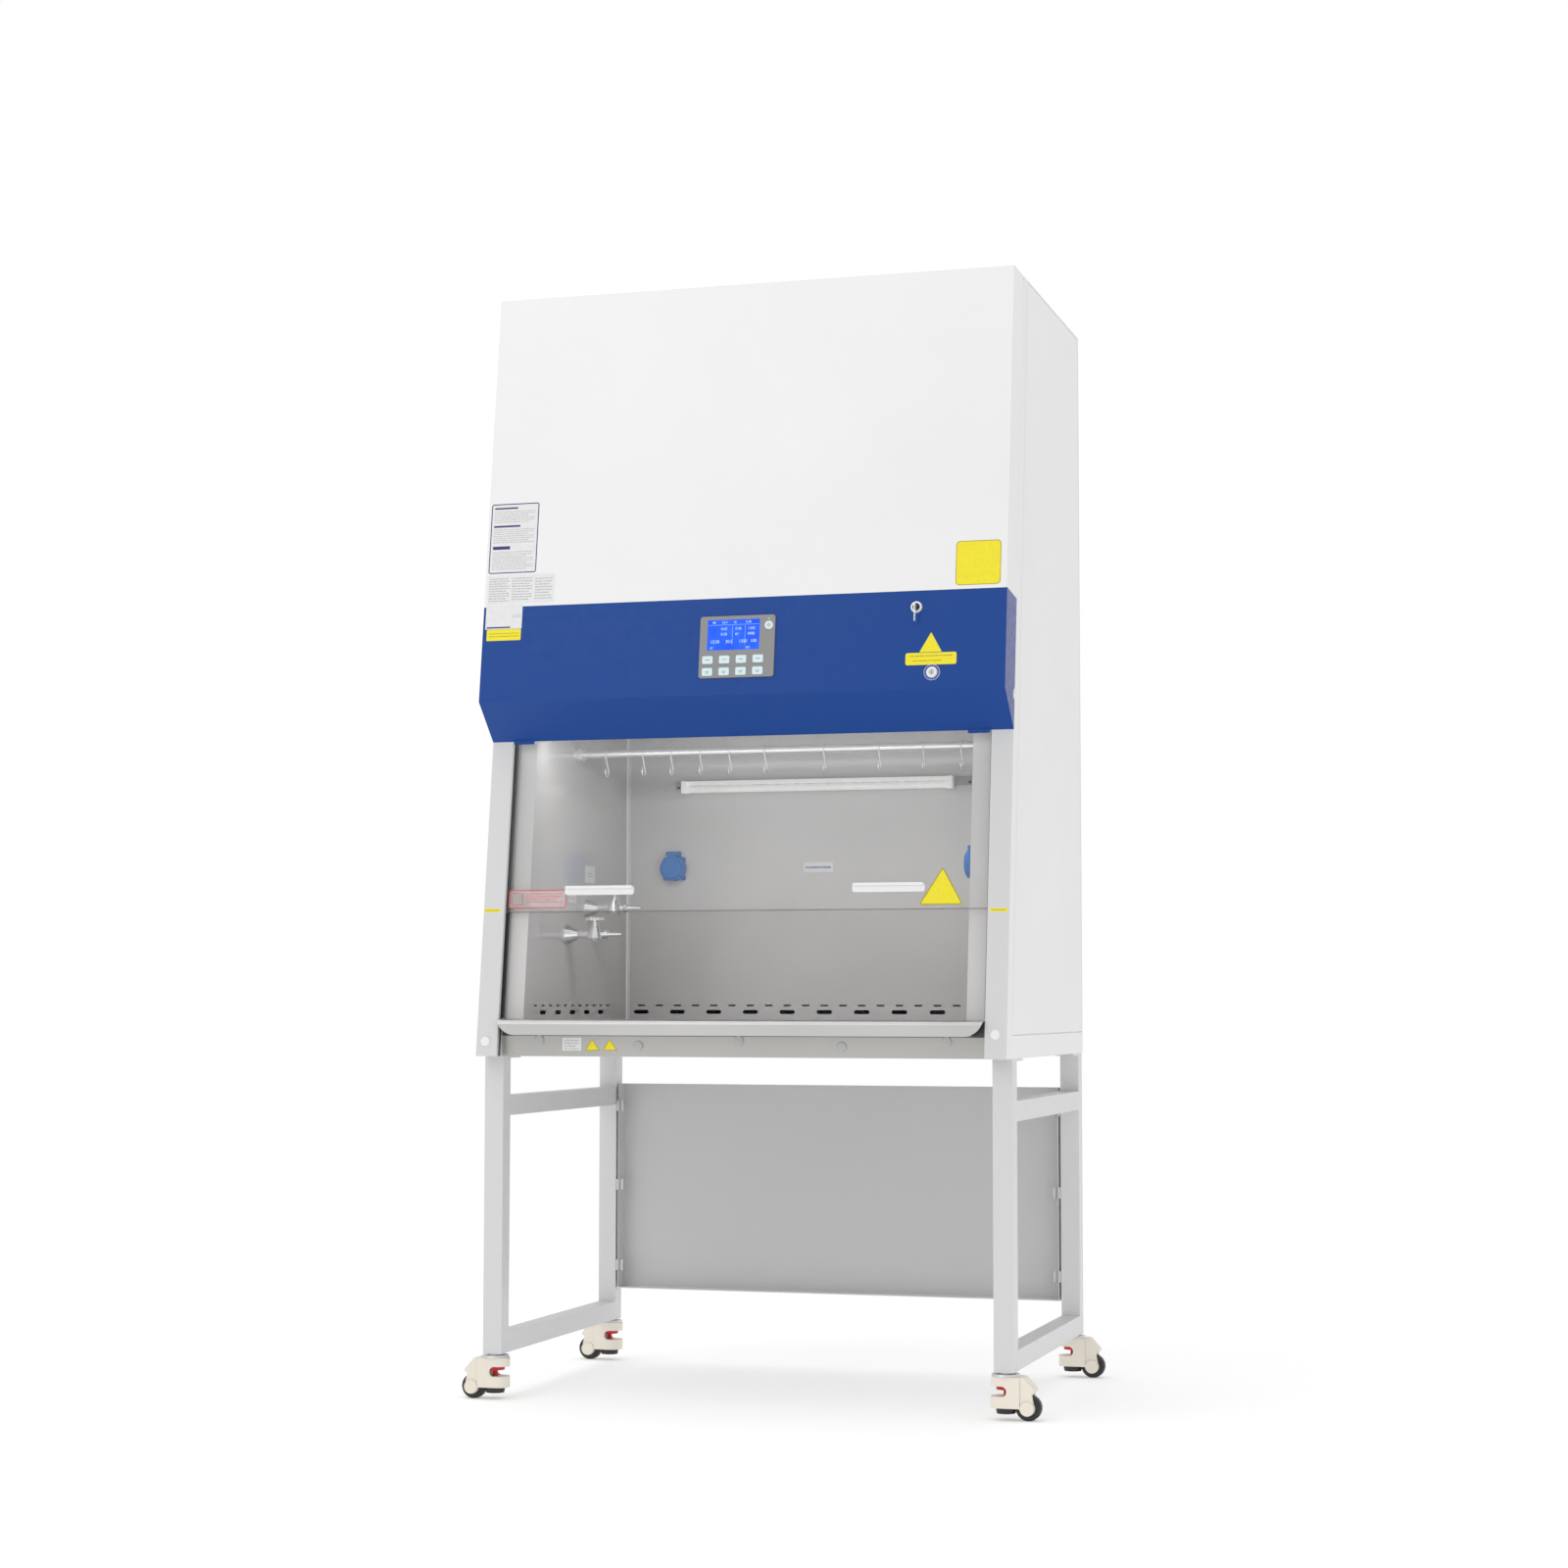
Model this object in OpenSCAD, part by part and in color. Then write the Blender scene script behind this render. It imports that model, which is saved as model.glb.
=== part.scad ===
/* [Cabinet] */
// Width over the side walls
body_w = 1100; // [1060:10:1200]
// Depth from the foot of the front pillars to the rear wall
body_d = 790; // [780:5:840]
// Height of the cabinet above the stand
body_h = 1580; // [1560:5:1640]
// Height of the cabinet's underside above the floor
stand_h = 695; // [660:5:760]
// Backward lean of the front, in degrees
front_rake = 7.15; // [6.5:0.05:7.8]
// Thickness of the folded sheet
sheet = 2; // [1.5:0.1:2]

/* [Chamber] */
// From the outer side to the chamber wall
side_gap = 88; // [84:1:96]
// From the rear to the chamber's back wall
back_gap = 127; // [120:1:140]
// Work tray above the underside
work_h = 53; // [50:1:56]
// Ceiling above the underside
ceiling_h = 730; // [720:5:740]
// Inside radius of the upright coves
cove_r = 12; // [8:1:16]
// Nose of the armrest in front of the pillars
armrest_out = 5; // [3:1:8]

/* [Sash] */
// Thickness of the glass
glass_t = 6; // [5:0.5:6]
// Height of the glass along the slope
glass_len = 640; // [600:5:660]
// Lower edge of the glass above the underside, along the slope
sash_open = 296.3; // [280:0.1:310]
// Upward travel of the sash
sash_up = 200; // [150:5:210]
// Downward travel of the sash
sash_down = 216; // [150:1:216]
// Side clearance of the glass in its guide
glass_gap = 1.5; // [1:0.1:2.5]

/* [Hood] */
// How far the hood stands in front of the pillars
hood_out = 90; // [80:1:95]
// Lower edge of the white cover above the underside
split_h = 920; // [900:5:940]
// Bend of the fascia above the underside
bend_h = 722; // [710:1:735]
// Lower lip of the fascia above the underside
lip_h = 646; // [640:1:655]
// Radius of the hinge pins
hinge_pin_r = 1.5; // [1.2:0.1:2]

/* [Fittings] */
// Radius of the hanger rod
rod_r = 8; // [7:0.5:9]
// Radius of the hook wire
wire_r = 1.5; // [1.2:0.1:2]
// Radius of the levelling caster wheels
wheel_r = 25; // [23:0.5:26]
// Side of the square leg tube
leg = 40; // [36:1:44]
// Radial running clearance of pins and shafts
run_gap = 0.05; // [0.03:0.01:0.08]
// Fine joint between pieces that are fastened to each other
seam = 0.1; // [0.05:0.05:0.2]
// Gap kept between pieces that move past each other
move_gap = 0.3; // [0.3:0.05:0.4]

/* [Hidden] */
$fn = 48;

white = [0.93, 0.93, 0.93];
steel = [0.70, 0.70, 0.68];
blue = [0.15, 0.31, 0.58];
chrome = [0.82, 0.83, 0.85];
cream = [0.90, 0.86, 0.80];
black = [0.12, 0.12, 0.12];

tan_r = tan(front_rake);
cos_r = cos(front_rake);
sin_r = sin(front_rake);

half_w = body_w / 2;
y_front = -(body_d - armrest_out) / 2;
y_rear = y_front + body_d;
z_roof = stand_h + body_h;
z_top = z_roof - sheet;
wall_in = half_w - 2 * sheet;

// Front pillars and the sash guides let into them
pillar_w = 45;
pillar_d = 44;
guide_off = 9.4;
guide_d = 11.3;
guide_x = half_w - 36.5;
glass_n = 12;
guide_z0 = stand_h + (sash_open - sash_down) * cos_r - (glass_n + glass_t) * sin_r - move_gap;
guide_z1 = stand_h + (sash_open + glass_len + sash_up) * cos_r + 22.6;

// Chamber
chamber_x = half_w - side_gap;
chamber_y = y_rear - back_gap;
chamber_z = stand_h + ceiling_h;
work_z = stand_h + work_h;
pan_x = chamber_x - 0.2;
pan_front = y_front + 124.5;
strip_n = 28;
strip_out = half_w - pillar_w - 5;

// Sash
glass_x = guide_x - glass_gap;
glass_mid = glass_n + glass_t / 2;
pulley_r = 37;
shaft_n = glass_mid + pulley_r;
shaft_s = body_h / cos_r - 196.4;
shaft_r = 6;
weight_n = shaft_n + pulley_r;
weight_len = 600;
weight_s = 400;

// Hood, on the sloping front: n is measured inwards from the pillar face, s up the slope
cover_n = -hood_out * cos_r;
split_s = slope_at(split_h);
hinge_y = y_front + body_h * tan_r;
hinge_z = z_roof - 4;
knuckle_r = 4;

// Plenum above the chamber
plenum_x = half_w - 60;
plenum_z0 = chamber_z + 2 * sheet + 0.2;
plenum_z1 = stand_h + 1487;
filter_h = 90;

// Face of the lower panel behind the front of the pillars
panel_y = 31.4;

// Hanger rod
rod_y = y_rear - 455;
rod_z = stand_h + 639;
// Hooks stand where they were pushed, clear of the rod's end brackets
hook_x = [for (x = [-391, -308, -245, -180, -115, -37, 92, 211, 306, 386]) if (abs(x) < chamber_x - 60) x];

// Stand
foot_x = half_w - 20;
foot_y0 = y_front + 72;
foot_y1 = y_rear - 32;
rail_low = 92;
rail_high = stand_h - 122;
hub_u = 45;

function fy(z) = y_front + (z - stand_h) * tan_r;
function rk(n, s) = [y_front + n * cos_r + s * sin_r, stand_h - n * sin_r + s * cos_r];
function band(off0, off1, z0, z1) =
    [[fy(z0) + off0, z0], [fy(z0) + off1, z0], [fy(z1) + off1, z1], [fy(z1) + off0, z1]];
// Distance up the slope, on the hood's face, of a height above the underside
function slope_at(h) = h / cos_r - hood_out * sin_r;

module box(x0, x1, y0, y1, z0, z1)
    translate([x0, y0, z0]) cube([x1 - x0, y1 - y0, z1 - z0]);

module along_x(x0, x1)
    translate([x0, 0, 0]) rotate([90, 0, 90]) linear_extrude(x1 - x0) children();

module pair() {
    children();
    mirror([1, 0, 0]) children();
}

// Works on the sloping front in x, n and s
module on_slope()
    translate([0, y_front, stand_h]) rotate([-front_rake, 0, 0]) children();

// Looks at the sloping front: x to the right, s up, extruded outwards from n
module slope_plate(n, t)
    on_slope() translate([0, n, 0]) rotate([90, 0, 0]) linear_extrude(t) children();

module round_rect(w, h, r) {
    square([w - 2 * r, h], center = true);
    square([w, h - 2 * r], center = true);
    for (x = [-1, 1], y = [-1, 1]) translate([x * (w / 2 - r), y * (h / 2 - r)]) circle(r);
}

module slot(w, h) {
    square([w - h, h], center = true);
    for (x = [-1, 1]) translate([x * (w - h) / 2, 0]) circle(h / 2, $fn = 24);
}

module button_cap(r, h) {
    cylinder(r = r, h = h * 0.55);
    translate([0, 0, h * 0.55]) cylinder(r1 = r, r2 = r - 1.5, h = h * 0.45);
}

// Inner sheet, the flush bands round the access panel, the counterweight ribs and the shaft boss
module side_walls() color(white) pair() difference() {
    union() {
        along_x(wall_in, half_w - sheet) polygon([[fy(stand_h) + pillar_d, stand_h],
            [y_rear, stand_h], [y_rear, z_top], [fy(z_top) + pillar_d, z_top]]);
        along_x(half_w - sheet, half_w) polygon([[fy(stand_h) + pillar_d, stand_h],
            [y_rear, stand_h], [y_rear, stand_h + 45], [fy(stand_h + 45) + pillar_d, stand_h + 45]]);
        box(half_w - sheet, half_w, y_rear - 9, y_rear, stand_h + 45, z_top);
        on_slope() for (n = [weight_n - 11 - move_gap - 2.3, weight_n + 11 + move_gap])
            translate([wall_in - 16, n, 170]) cube([16, 2.3, 1080]);
        on_slope() translate([wall_in - 10, shaft_n, shaft_s]) rotate([0, 90, 0]) cylinder(r = 8, h = 10);
    }
    on_slope() translate([wall_in - 11, shaft_n, shaft_s]) rotate([0, 90, 0])
        cylinder(r = shaft_r + run_gap, h = 11);
}

// Rear sheet with a bushed cable outlet near its lower corner
module rear_wall() color(white) difference() {
    union() {
        box(-wall_in, wall_in, y_rear - sheet, y_rear, stand_h, z_top);
        translate([wall_in - 90, y_rear, stand_h + 110]) rotate([90, 0, 0]) cylinder(r = 13, h = 14);
    }
    translate([wall_in - 90, y_rear + 1, stand_h + 110]) rotate([90, 0, 0]) cylinder(r = 7, h = 16);
}

module hinge_at(x) translate([x, hinge_y, hinge_z]) rotate([0, 90, 0]) children();

hinge_x = [-half_w + 130, 0, half_w - 130];

// Roof sheet with the fixed knuckles and the pins of the hood's hinges
module roof() color(white) {
    difference() {
        box(-half_w, half_w, hinge_y + 5, y_rear, z_top, z_roof);
        box(-215, 215, chamber_y - 234, chamber_y + 76, z_top - 1, z_roof + 1);
    }
    for (x = hinge_x) {
        for (side = [-24, 24]) {
            difference() {
                union() {
                    hinge_at(x + side - 8) cylinder(r = knuckle_r, h = 16);
                    box(x + side - 8, x + side + 8, hinge_y, hinge_y + 6, z_top, z_roof);
                }
                hinge_at(x + side - 9) cylinder(r = hinge_pin_r, h = 18);
            }
        }
        hinge_at(x - 32) cylinder(r = hinge_pin_r, h = 64);
    }
}

// Louvred plate over the exhaust filter
module exhaust_grille() color(steel) difference() {
    box(-214.8, 214.8, chamber_y - 233.8, chamber_y + 75.8, z_top, z_roof);
    for (y = [-7:7], x = [-1, 0, 1])
        translate([x * 135, chamber_y - 79 + y * 18, z_top - 1]) linear_extrude(sheet + 2) slot(115, 9);
}

// Bottom sheet and the drain trough that carries the work tray
module base_pan() color(steel) {
    box(-wall_in, wall_in, y_front + pillar_d + 0.5, y_rear - sheet, stand_h, stand_h + 2);
    box(-half_w + pillar_w + 0.5, half_w - pillar_w - 0.5, y_front + 33, y_front + pillar_d + 0.5,
        stand_h, stand_h + 2);
    box(-half_w + pillar_w + 0.5, half_w - pillar_w - 0.5, y_front + 33, y_front + 35, stand_h, stand_h + 40);
    difference() {
        trough(0, stand_h + 1, work_z - 8);
        trough(2, stand_h + 16, work_z - 10);
        trough(16, stand_h + 17, work_z);
        trough(2, stand_h, stand_h + 14);
    }
}

// Round-cornered block inside the chamber's walls, inset on every side
module trough(inset, z0, z1) {
    y1 = chamber_y - 0.2;
    translate([0, (pan_front + y1) / 2, z0]) linear_extrude(z1 - z0)
        round_rect(2 * (pan_x - inset), y1 - pan_front - 2 * inset, max(cove_r - inset, 1) + 0.2);
}

// Hollow folded pillars with the sash guides let into their inner walls
module pillars() color(white) pair() {
    difference() {
        along_x(half_w - pillar_w, half_w) polygon(band(0, pillar_d, stand_h, z_top));
        along_x(half_w - pillar_w + sheet, half_w - sheet)
            polygon(band(sheet, pillar_d - sheet, stand_h - 1, z_top + 1));
        along_x(half_w - pillar_w - 1, half_w - pillar_w + sheet + 1)
            polygon(band(guide_off, guide_off + guide_d, guide_z0, guide_z1));
        on_slope() translate([half_w - pillar_w - 2, 9, shaft_s - pulley_r - 8])
            cube([14, 40, 2 * pulley_r + 16]);
    }
    along_x(guide_x, guide_x + 2.5) polygon(band(guide_off, guide_off + guide_d, guide_z0, guide_z1));
    along_x(half_w - pillar_w, guide_x + 0.5)
        polygon(band(guide_off, guide_off + 2.2, guide_z0, guide_z1));
    along_x(half_w - pillar_w - 5, guide_x + 0.5)
        polygon(band(guide_off + guide_d - 2, guide_off + guide_d, guide_z0, guide_z1));
}

// Lift-off service panels, flush in the side walls with a shadow gap round them
module access_panels() color(white) pair()
    along_x(half_w - sheet, half_w) polygon([[fy(stand_h + 47) + pillar_d + 2, stand_h + 47],
        [y_rear - 11, stand_h + 47], [y_rear - 11, z_top - 2], [fy(z_top - 2) + pillar_d + 2, z_top - 2]]);

// White upper hood with the moving knuckles of its hinges
module front_cover() color(white) {
    difference() {
        along_x(-half_w, half_w) polygon([[fy(z_roof) - move_gap, z_roof],
            [fy(z_roof) - hood_out, z_roof], rk(cover_n, split_s), rk(-move_gap, split_s)]);
        along_x(-half_w + sheet, half_w - sheet) polygon([[fy(z_top) + 2, z_top],
            [fy(z_top) - hood_out + sheet / cos_r, z_top], rk(cover_n + sheet, split_s - 1),
            rk(3, split_s - 1)]);
        hinge_at(-half_w - 1) cylinder(r = 6, h = body_w + 2);
    }
    for (x = hinge_x) difference() {
        union() {
            hinge_at(x - 15.7) cylinder(r = knuckle_r, h = 31.4);
            box(x - 15.7, x + 15.7, hinge_y - 8, hinge_y, z_top, z_roof);
        }
        hinge_at(x - 17) cylinder(r = hinge_pin_r + run_gap, h = 34);
    }
}

fold_y = -(bend_h - lip_h) * tan_r + hood_out;
fold_z = lip_h - bend_h;
fold_len = norm([fold_y, fold_z]);
in_y = -fold_z / fold_len;
in_z = fold_y / fold_len;
in_det = cos_r * in_z + sin_r * in_y;
// Shift that moves both faces of the fascia inwards by the sheet thickness
fascia_shift = [sheet * (in_z + sin_r) / in_det, sheet * (cos_r - in_y) / in_det];

// Blue instrument fascia with its bevelled lower face
module fascia() color(blue) {
    lip = [fy(stand_h + lip_h) - move_gap, stand_h + lip_h];
    bend = [fy(stand_h + bend_h) - hood_out, stand_h + bend_h];
    difference() {
        along_x(-half_w, half_w) polygon([rk(-move_gap, split_s), rk(cover_n, split_s), bend, lip]);
        along_x(-half_w + sheet, half_w - sheet) polygon([rk(9, split_s + 3),
            rk(cover_n + sheet, split_s + 3), bend + fascia_shift, lip + fascia_shift, lip + [9, 9]]);
        slope_plate(cover_n + 3, 6) translate([1.75, slope_at(819.5)]) square([150.5, 123], center = true);
        on_slope() for (hole = [[key_lock, 9.5], [cam_lock, 8.2]])
            translate([hole[0][0], cover_n - 3, hole[0][1]]) rotate([-90, 0, 0]) cylinder(r = hole[1], h = 9);
        translate([half_w - 5, side_cap[0], side_cap[1]]) rotate([0, 90, 0]) cylinder(r = 6, h = 9);
    }
    pair() along_x(half_w - 92, half_w - 48)
        polygon([lip + [-1, 1.2], lip + [-3, 1.8], lip + [-3, -6], lip + [-1, -6]]);
}

key_lock = [half_w - 181.8, slope_at(886.6)];
cam_lock = [half_w - 147.1, slope_at(754.7)];
side_cap = [fy(stand_h + 716) - 8.5, stand_h + 716];
key_w = 22.4;
key_h = 16.6;
key_x = [-59.7, -24.5, 10.6, 45.8];
key_s = [slope_at(793.3), slope_at(769)];
power_at = [66.2, slope_at(861)];
lcd_at = [-7.5, slope_at(843.8)];
lcd_w = 109;
lcd_h = 62.4;

// Grey operating panel with the circuit board on four posts behind it
module control_plate() color([0.57, 0.57, 0.57]) {
    difference() {
        slope_plate(cover_n, 3) translate([0.5, slope_at(819.5)]) round_rect(157, 127, 6);
        slope_plate(cover_n + 1, 6) {
            for (x = key_x, s = key_s) translate([x, s]) round_rect(key_w + 0.8, key_h + 0.8, 3.4);
            translate(power_at) circle(9.4);
            translate(lcd_at) square([lcd_w + 0.2, lcd_h + 0.2], center = true);
        }
    }
    for (p = [[-66, 51], [54, 51], [-66, -38.6], [67, -38.6]])
        slope_plate(cover_n + 3.4, 3.8) translate([p[0], slope_at(819.5) + p[1]]) circle(2);
    slope_plate(cover_n + 4.6, 1.6) translate([0.5, slope_at(819.5)]) square([139, 109], center = true);
}

// Liquid crystal display block behind its window
module display() color([0.12, 0.31, 1]) {
    slope_plate(cover_n, 2.4) translate(lcd_at) square([lcd_w, lcd_h], center = true);
    slope_plate(cover_n + 1, 2) translate(lcd_at) square([lcd_w, lcd_h - 1.4], center = true);
    slope_plate(cover_n + 3, 3) translate(lcd_at) square([lcd_w + 1.5, lcd_h - 1.4], center = true);
}

// One sprung key: raised cap through the plate, keeper flange behind it
module key_cap(x, s) color([0.85, 0.94, 0.95]) {
    slope_plate(cover_n, 4.4) translate([x, s]) round_rect(key_w - 2, key_h - 2, 2.4);
    slope_plate(cover_n, 3.9) translate([x, s]) round_rect(key_w, key_h, 3);
    slope_plate(cover_n + 1.3, 1) translate([x, s]) round_rect(key_w + 2.2, key_h + 2.2, 3);
    slope_plate(cover_n + 0.4, 0.5) translate([x, s]) round_rect(key_w, key_h, 3);
}

module power_key() color([0.9, 0.92, 0.92]) {
    slope_plate(cover_n, 4.4) translate(power_at) circle(8);
    slope_plate(cover_n, 3.9) translate(power_at) circle(9);
    slope_plate(cover_n + 1.3, 1) translate(power_at) circle(10.2);
    slope_plate(cover_n + 0.4, 0.5) translate(power_at) circle(9);
}

// Barrels of the key switch and the cam lock, and the cap of the hood's side screw
module lock_barrels() color(chrome) {
    on_slope() translate([key_lock[0], cover_n, key_lock[1]]) rotate([90, 0, 0]) difference() {
        union() {
            translate([0, 0, -24]) cylinder(r = 9.4, h = 24.5);
            cylinder(r1 = 12, r2 = 11, h = 4);
            translate([0, 0, -7.2]) cylinder(r = 12.5, h = 5);
        }
        translate([0, 0, -25]) cylinder(r = 7.5 + run_gap, h = 40);
    }
    on_slope() translate([cam_lock[0], cover_n, cam_lock[1]]) rotate([90, 0, 0]) difference() {
        union() {
            translate([0, 0, -18]) cylinder(r = 8.1, h = 18.5);
            cylinder(r = 16, h = 1.6);
            cylinder(r1 = 11, r2 = 10, h = 4);
            translate([0, 0, -7.2]) cylinder(r = 12.5, h = 5);
        }
        translate([0, 0, -25]) cylinder(r = 6 + run_gap, h = 40);
    }
    translate([half_w, side_cap[0], side_cap[1]]) rotate([0, 90, 0]) {
        button_cap(12, 4);
        translate([0, 0, -6]) cylinder(r = 5.9, h = 6.1);
    }
}

// Turning plug of the key switch with the key in it and its spare hanging from the bow
module switch_key() color([0.35, 0.35, 0.36]) on_slope()
    translate([key_lock[0], cover_n, key_lock[1]]) rotate([90, 0, 0]) {
        translate([0, 0, -28]) cylinder(r = 7.5, h = 32.5);
        translate([0, 0, -30]) cylinder(r = 9, h = 2.2);
        translate([-1, -4, 3]) cube([2, 8, 6]);
        translate([-1, -2, 14]) rotate([0, 90, 0]) difference() {
            cylinder(r = 8.5, h = 2);
            translate([0, -4, -1]) cylinder(r = 2.4, h = 4);
        }
        translate([-0.9, -19, 13]) rotate([0, 90, 0]) difference() {
            translate([-4, -12, 0]) cube([8, 26, 1.8]);
            translate([0, 9, -1]) cylinder(r = 1.8, h = 4);
        }
    }

// Turning core of the cam lock with its slot and cam
module lock_core() color(chrome) on_slope()
    translate([cam_lock[0], cover_n, cam_lock[1]]) rotate([90, 0, 0]) difference() {
        union() {
            translate([0, 0, -21]) cylinder(r = 6, h = 24.6);
            translate([-6, -30, -21]) cube([12, 36, 2.4]);
        }
        translate([-0.6, -4, 0.6]) cube([1.2, 8, 4]);
    }

module wall_slots(n, pitch, w, h, z)
    for (k = [-(n - 1) / 2:(n - 1) / 2]) translate([k * pitch, z]) slot(w, h);

// Stainless lining: side sheets, back sheet, upright coves, front strips and the ceiling frame
module chamber_liner() color(steel) {
    side_mid = (fy(stand_h + 102) + strip_n + chamber_y) / 2 - 26.5;
    toe_y = y_front + 35 + 2 * seam;
    toe_z = stand_h + (toe_y - y_front - strip_n - 2.4) / tan_r;
    pair() {
        difference() {
            along_x(chamber_x, chamber_x + sheet) polygon([[toe_y, toe_z], [toe_y, stand_h + 2],
                [chamber_y - cove_r - 0.2, stand_h + 2], [chamber_y - cove_r - 0.2, chamber_z],
                [fy(chamber_z) + strip_n + 2.4, chamber_z]]);
            along_x(chamber_x - 1, chamber_x + sheet + 1) translate([side_mid, 0]) {
                wall_slots(11, 43.8, 17.2, 3.5, stand_h + 102.4);
                wall_slots(5, 87.5, 35, 8.8, stand_h + 88);
            }
        }
        translate([chamber_x - cove_r, chamber_y - cove_r, stand_h + 2])
            rotate_extrude(angle = 90) translate([cove_r, 0]) square([sheet, chamber_z - stand_h - 2]);
        along_x(chamber_x, strip_out) polygon(band(strip_n + 0.2, strip_n + 2.2, stand_h + 75.2, chamber_z));
        // corner gussets that tie the strips to the pillars behind the guides
        along_x(strip_out - 3, strip_out + 5 - seam)
            polygon(band(strip_n + 2.2, strip_n + 4.2, stand_h + 75.2, chamber_z));
    }
    difference() {
        box(-chamber_x + cove_r + 0.2, chamber_x - cove_r - 0.2, chamber_y, chamber_y + sheet,
            stand_h + 2, chamber_z);
        translate([0, chamber_y + sheet + 1, 0]) rotate([90, 0, 0]) linear_extrude(sheet + 2) {
            wall_slots(21, (chamber_x - 37) / 10, 17.2, 3.5, stand_h + 102.4);
            wall_slots(11, (chamber_x - 37) / 5, 35, 8.8, stand_h + 88);
        }
    }
    difference() {
        box(-plenum_x, plenum_x, fy(chamber_z) + strip_n, chamber_y + sheet, chamber_z + 0.2,
            chamber_z + sheet + 0.2);
        box(-chamber_x + 32, chamber_x - 32, fy(chamber_z) + 92, chamber_y - 22, chamber_z - 1, chamber_z + 9);
    }
}

// Folded armrest with the front air intake behind it
module armrest() color(steel) {
    nose_y = y_front - armrest_out;
    top_z = stand_h + 75;
    wide = half_w - pillar_w - 0.3;
    intersection() {
        along_x(-wide, wide) {
            translate([nose_y, stand_h + 43]) square([sheet, 20.2]);
            translate([nose_y + 12, top_z - 12]) intersection() {
                difference() {
                    circle(12);
                    circle(12 - sheet);
                }
                translate([-12, 0]) square([12.1, 12]);
            }
            translate([nose_y + 12, top_z - sheet]) square([31, sheet]);
            translate([nose_y, stand_h + 43]) square([armrest_out + panel_y - 0.2, sheet]);
        }
        union() {
            box(-wide, wide, nose_y - 1, y_front + 60, stand_h + 73, top_z + 1);
            rotate([90, 0, 0]) linear_extrude(1000, center = true) translate([0, stand_h + 103])
                round_rect(2 * wide, 120, 40);
        }
    }
    difference() {
        along_x(-chamber_x + 2, chamber_x - 2) {
            polygon([[nose_y + 42.9, top_z], [nose_y + 42.9, top_z - sheet], [nose_y + 50, top_z - sheet],
                [nose_y + 70, work_z - sheet], [nose_y + 70, work_z], [nose_y + 50, top_z]]);
            polygon([[nose_y + 70, work_z - sheet], [pan_front + 4, work_z - sheet],
                [pan_front + 4, work_z], [nose_y + 70, work_z]]);
            polygon([[pan_front + 2, work_z - 8], [pan_front + 4, work_z - 8],
                [pan_front + 4, work_z], [pan_front + 2, work_z]]);
        }
        for (x = [-11:11], y = [84, 104]) translate([x * 38, nose_y + y, work_z - 5])
            linear_extrude(9) slot(28, 8);
    }
}

// Stainless plate under the armrest
module lower_front_panel() color(steel) difference() {
    box(-half_w + pillar_w + 0.5, half_w - pillar_w - 0.5, y_front + panel_y, y_front + 33,
        stand_h, stand_h + 75 - sheet - 0.2);
    for (p = cap_at) translate([p[0], y_front + panel_y - 1.4, p[1]]) rotate([-90, 0, 0]) cylinder(r = 6, h = 9);
}

cap_at = [[-chamber_x + 38, stand_h + 33], [-chamber_x / 2 + 19, stand_h + 22], [0, stand_h + 33],
    [chamber_x / 2 - 19, stand_h + 22], [chamber_x - 38, stand_h + 33]];

// Snap caps over the fixing screws of the lower panel and the pillars
module hole_caps() color(white) {
    for (p = cap_at) translate([p[0], y_front + panel_y, p[1]]) rotate([90, 0, 0]) {
        button_cap(10, 3);
        translate([0, 0, -1.6]) cylinder(r = 5.9, h = 1.7);
    }
    on_slope() for (p = [[-half_w + 19.6, 30.2], [half_w - 23.7, 48]])
        translate([p[0], 0, p[1]]) rotate([90, 0, 0]) button_cap(10, 3);
}

// Lift-out work tray with folded rim
module work_tray() color(steel) {
    tray_x = chamber_x - 3;
    y0 = pan_front + 4.5;
    y1 = chamber_y - 3;
    translate([0, (y0 + y1) / 2, 0]) difference() {
        translate([0, 0, work_z - 8 + move_gap]) linear_extrude(8 - move_gap)
            round_rect(2 * tray_x, y1 - y0, cove_r + 2);
        translate([0, 0, work_z - 9]) linear_extrude(7)
            round_rect(2 * tray_x - 2 * sheet, y1 - y0 - 2 * sheet, cove_r);
    }
}

// Perforated air diffuser lying on the ceiling frame
module diffuser() color(steel) difference() {
    z = chamber_z + sheet + 0.2;
    box(-chamber_x + 22, chamber_x - 22, fy(chamber_z) + 82, chamber_y - 12, z, z + sheet);
    for (x = [-6:6], y = [0:10]) translate([x * 64, fy(chamber_z) + 112 + y * (chamber_y - fy(chamber_z) - 160) / 10, z - 1])
        linear_extrude(9) slot(48, 12);
}

// Hanger rod across the chamber with a flanged socket at each wall
module hanger_rail() color(chrome) {
    translate([-chamber_x, rod_y, rod_z]) rotate([0, 90, 0]) cylinder(r = rod_r, h = 2 * chamber_x);
    pair() translate([-chamber_x, rod_y, rod_z]) rotate([0, 90, 0]) {
        cylinder(r = 18, h = 3);
        translate([0, 0, 2.9]) cylinder(r1 = 14, r2 = 15.5, h = 4);
        translate([0, 0, 6.8]) cylinder(r = 15.5, h = 13);
        translate([0, 0, 19.7]) cylinder(r1 = 15.5, r2 = 12, h = 3.5);
    }
}

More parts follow.
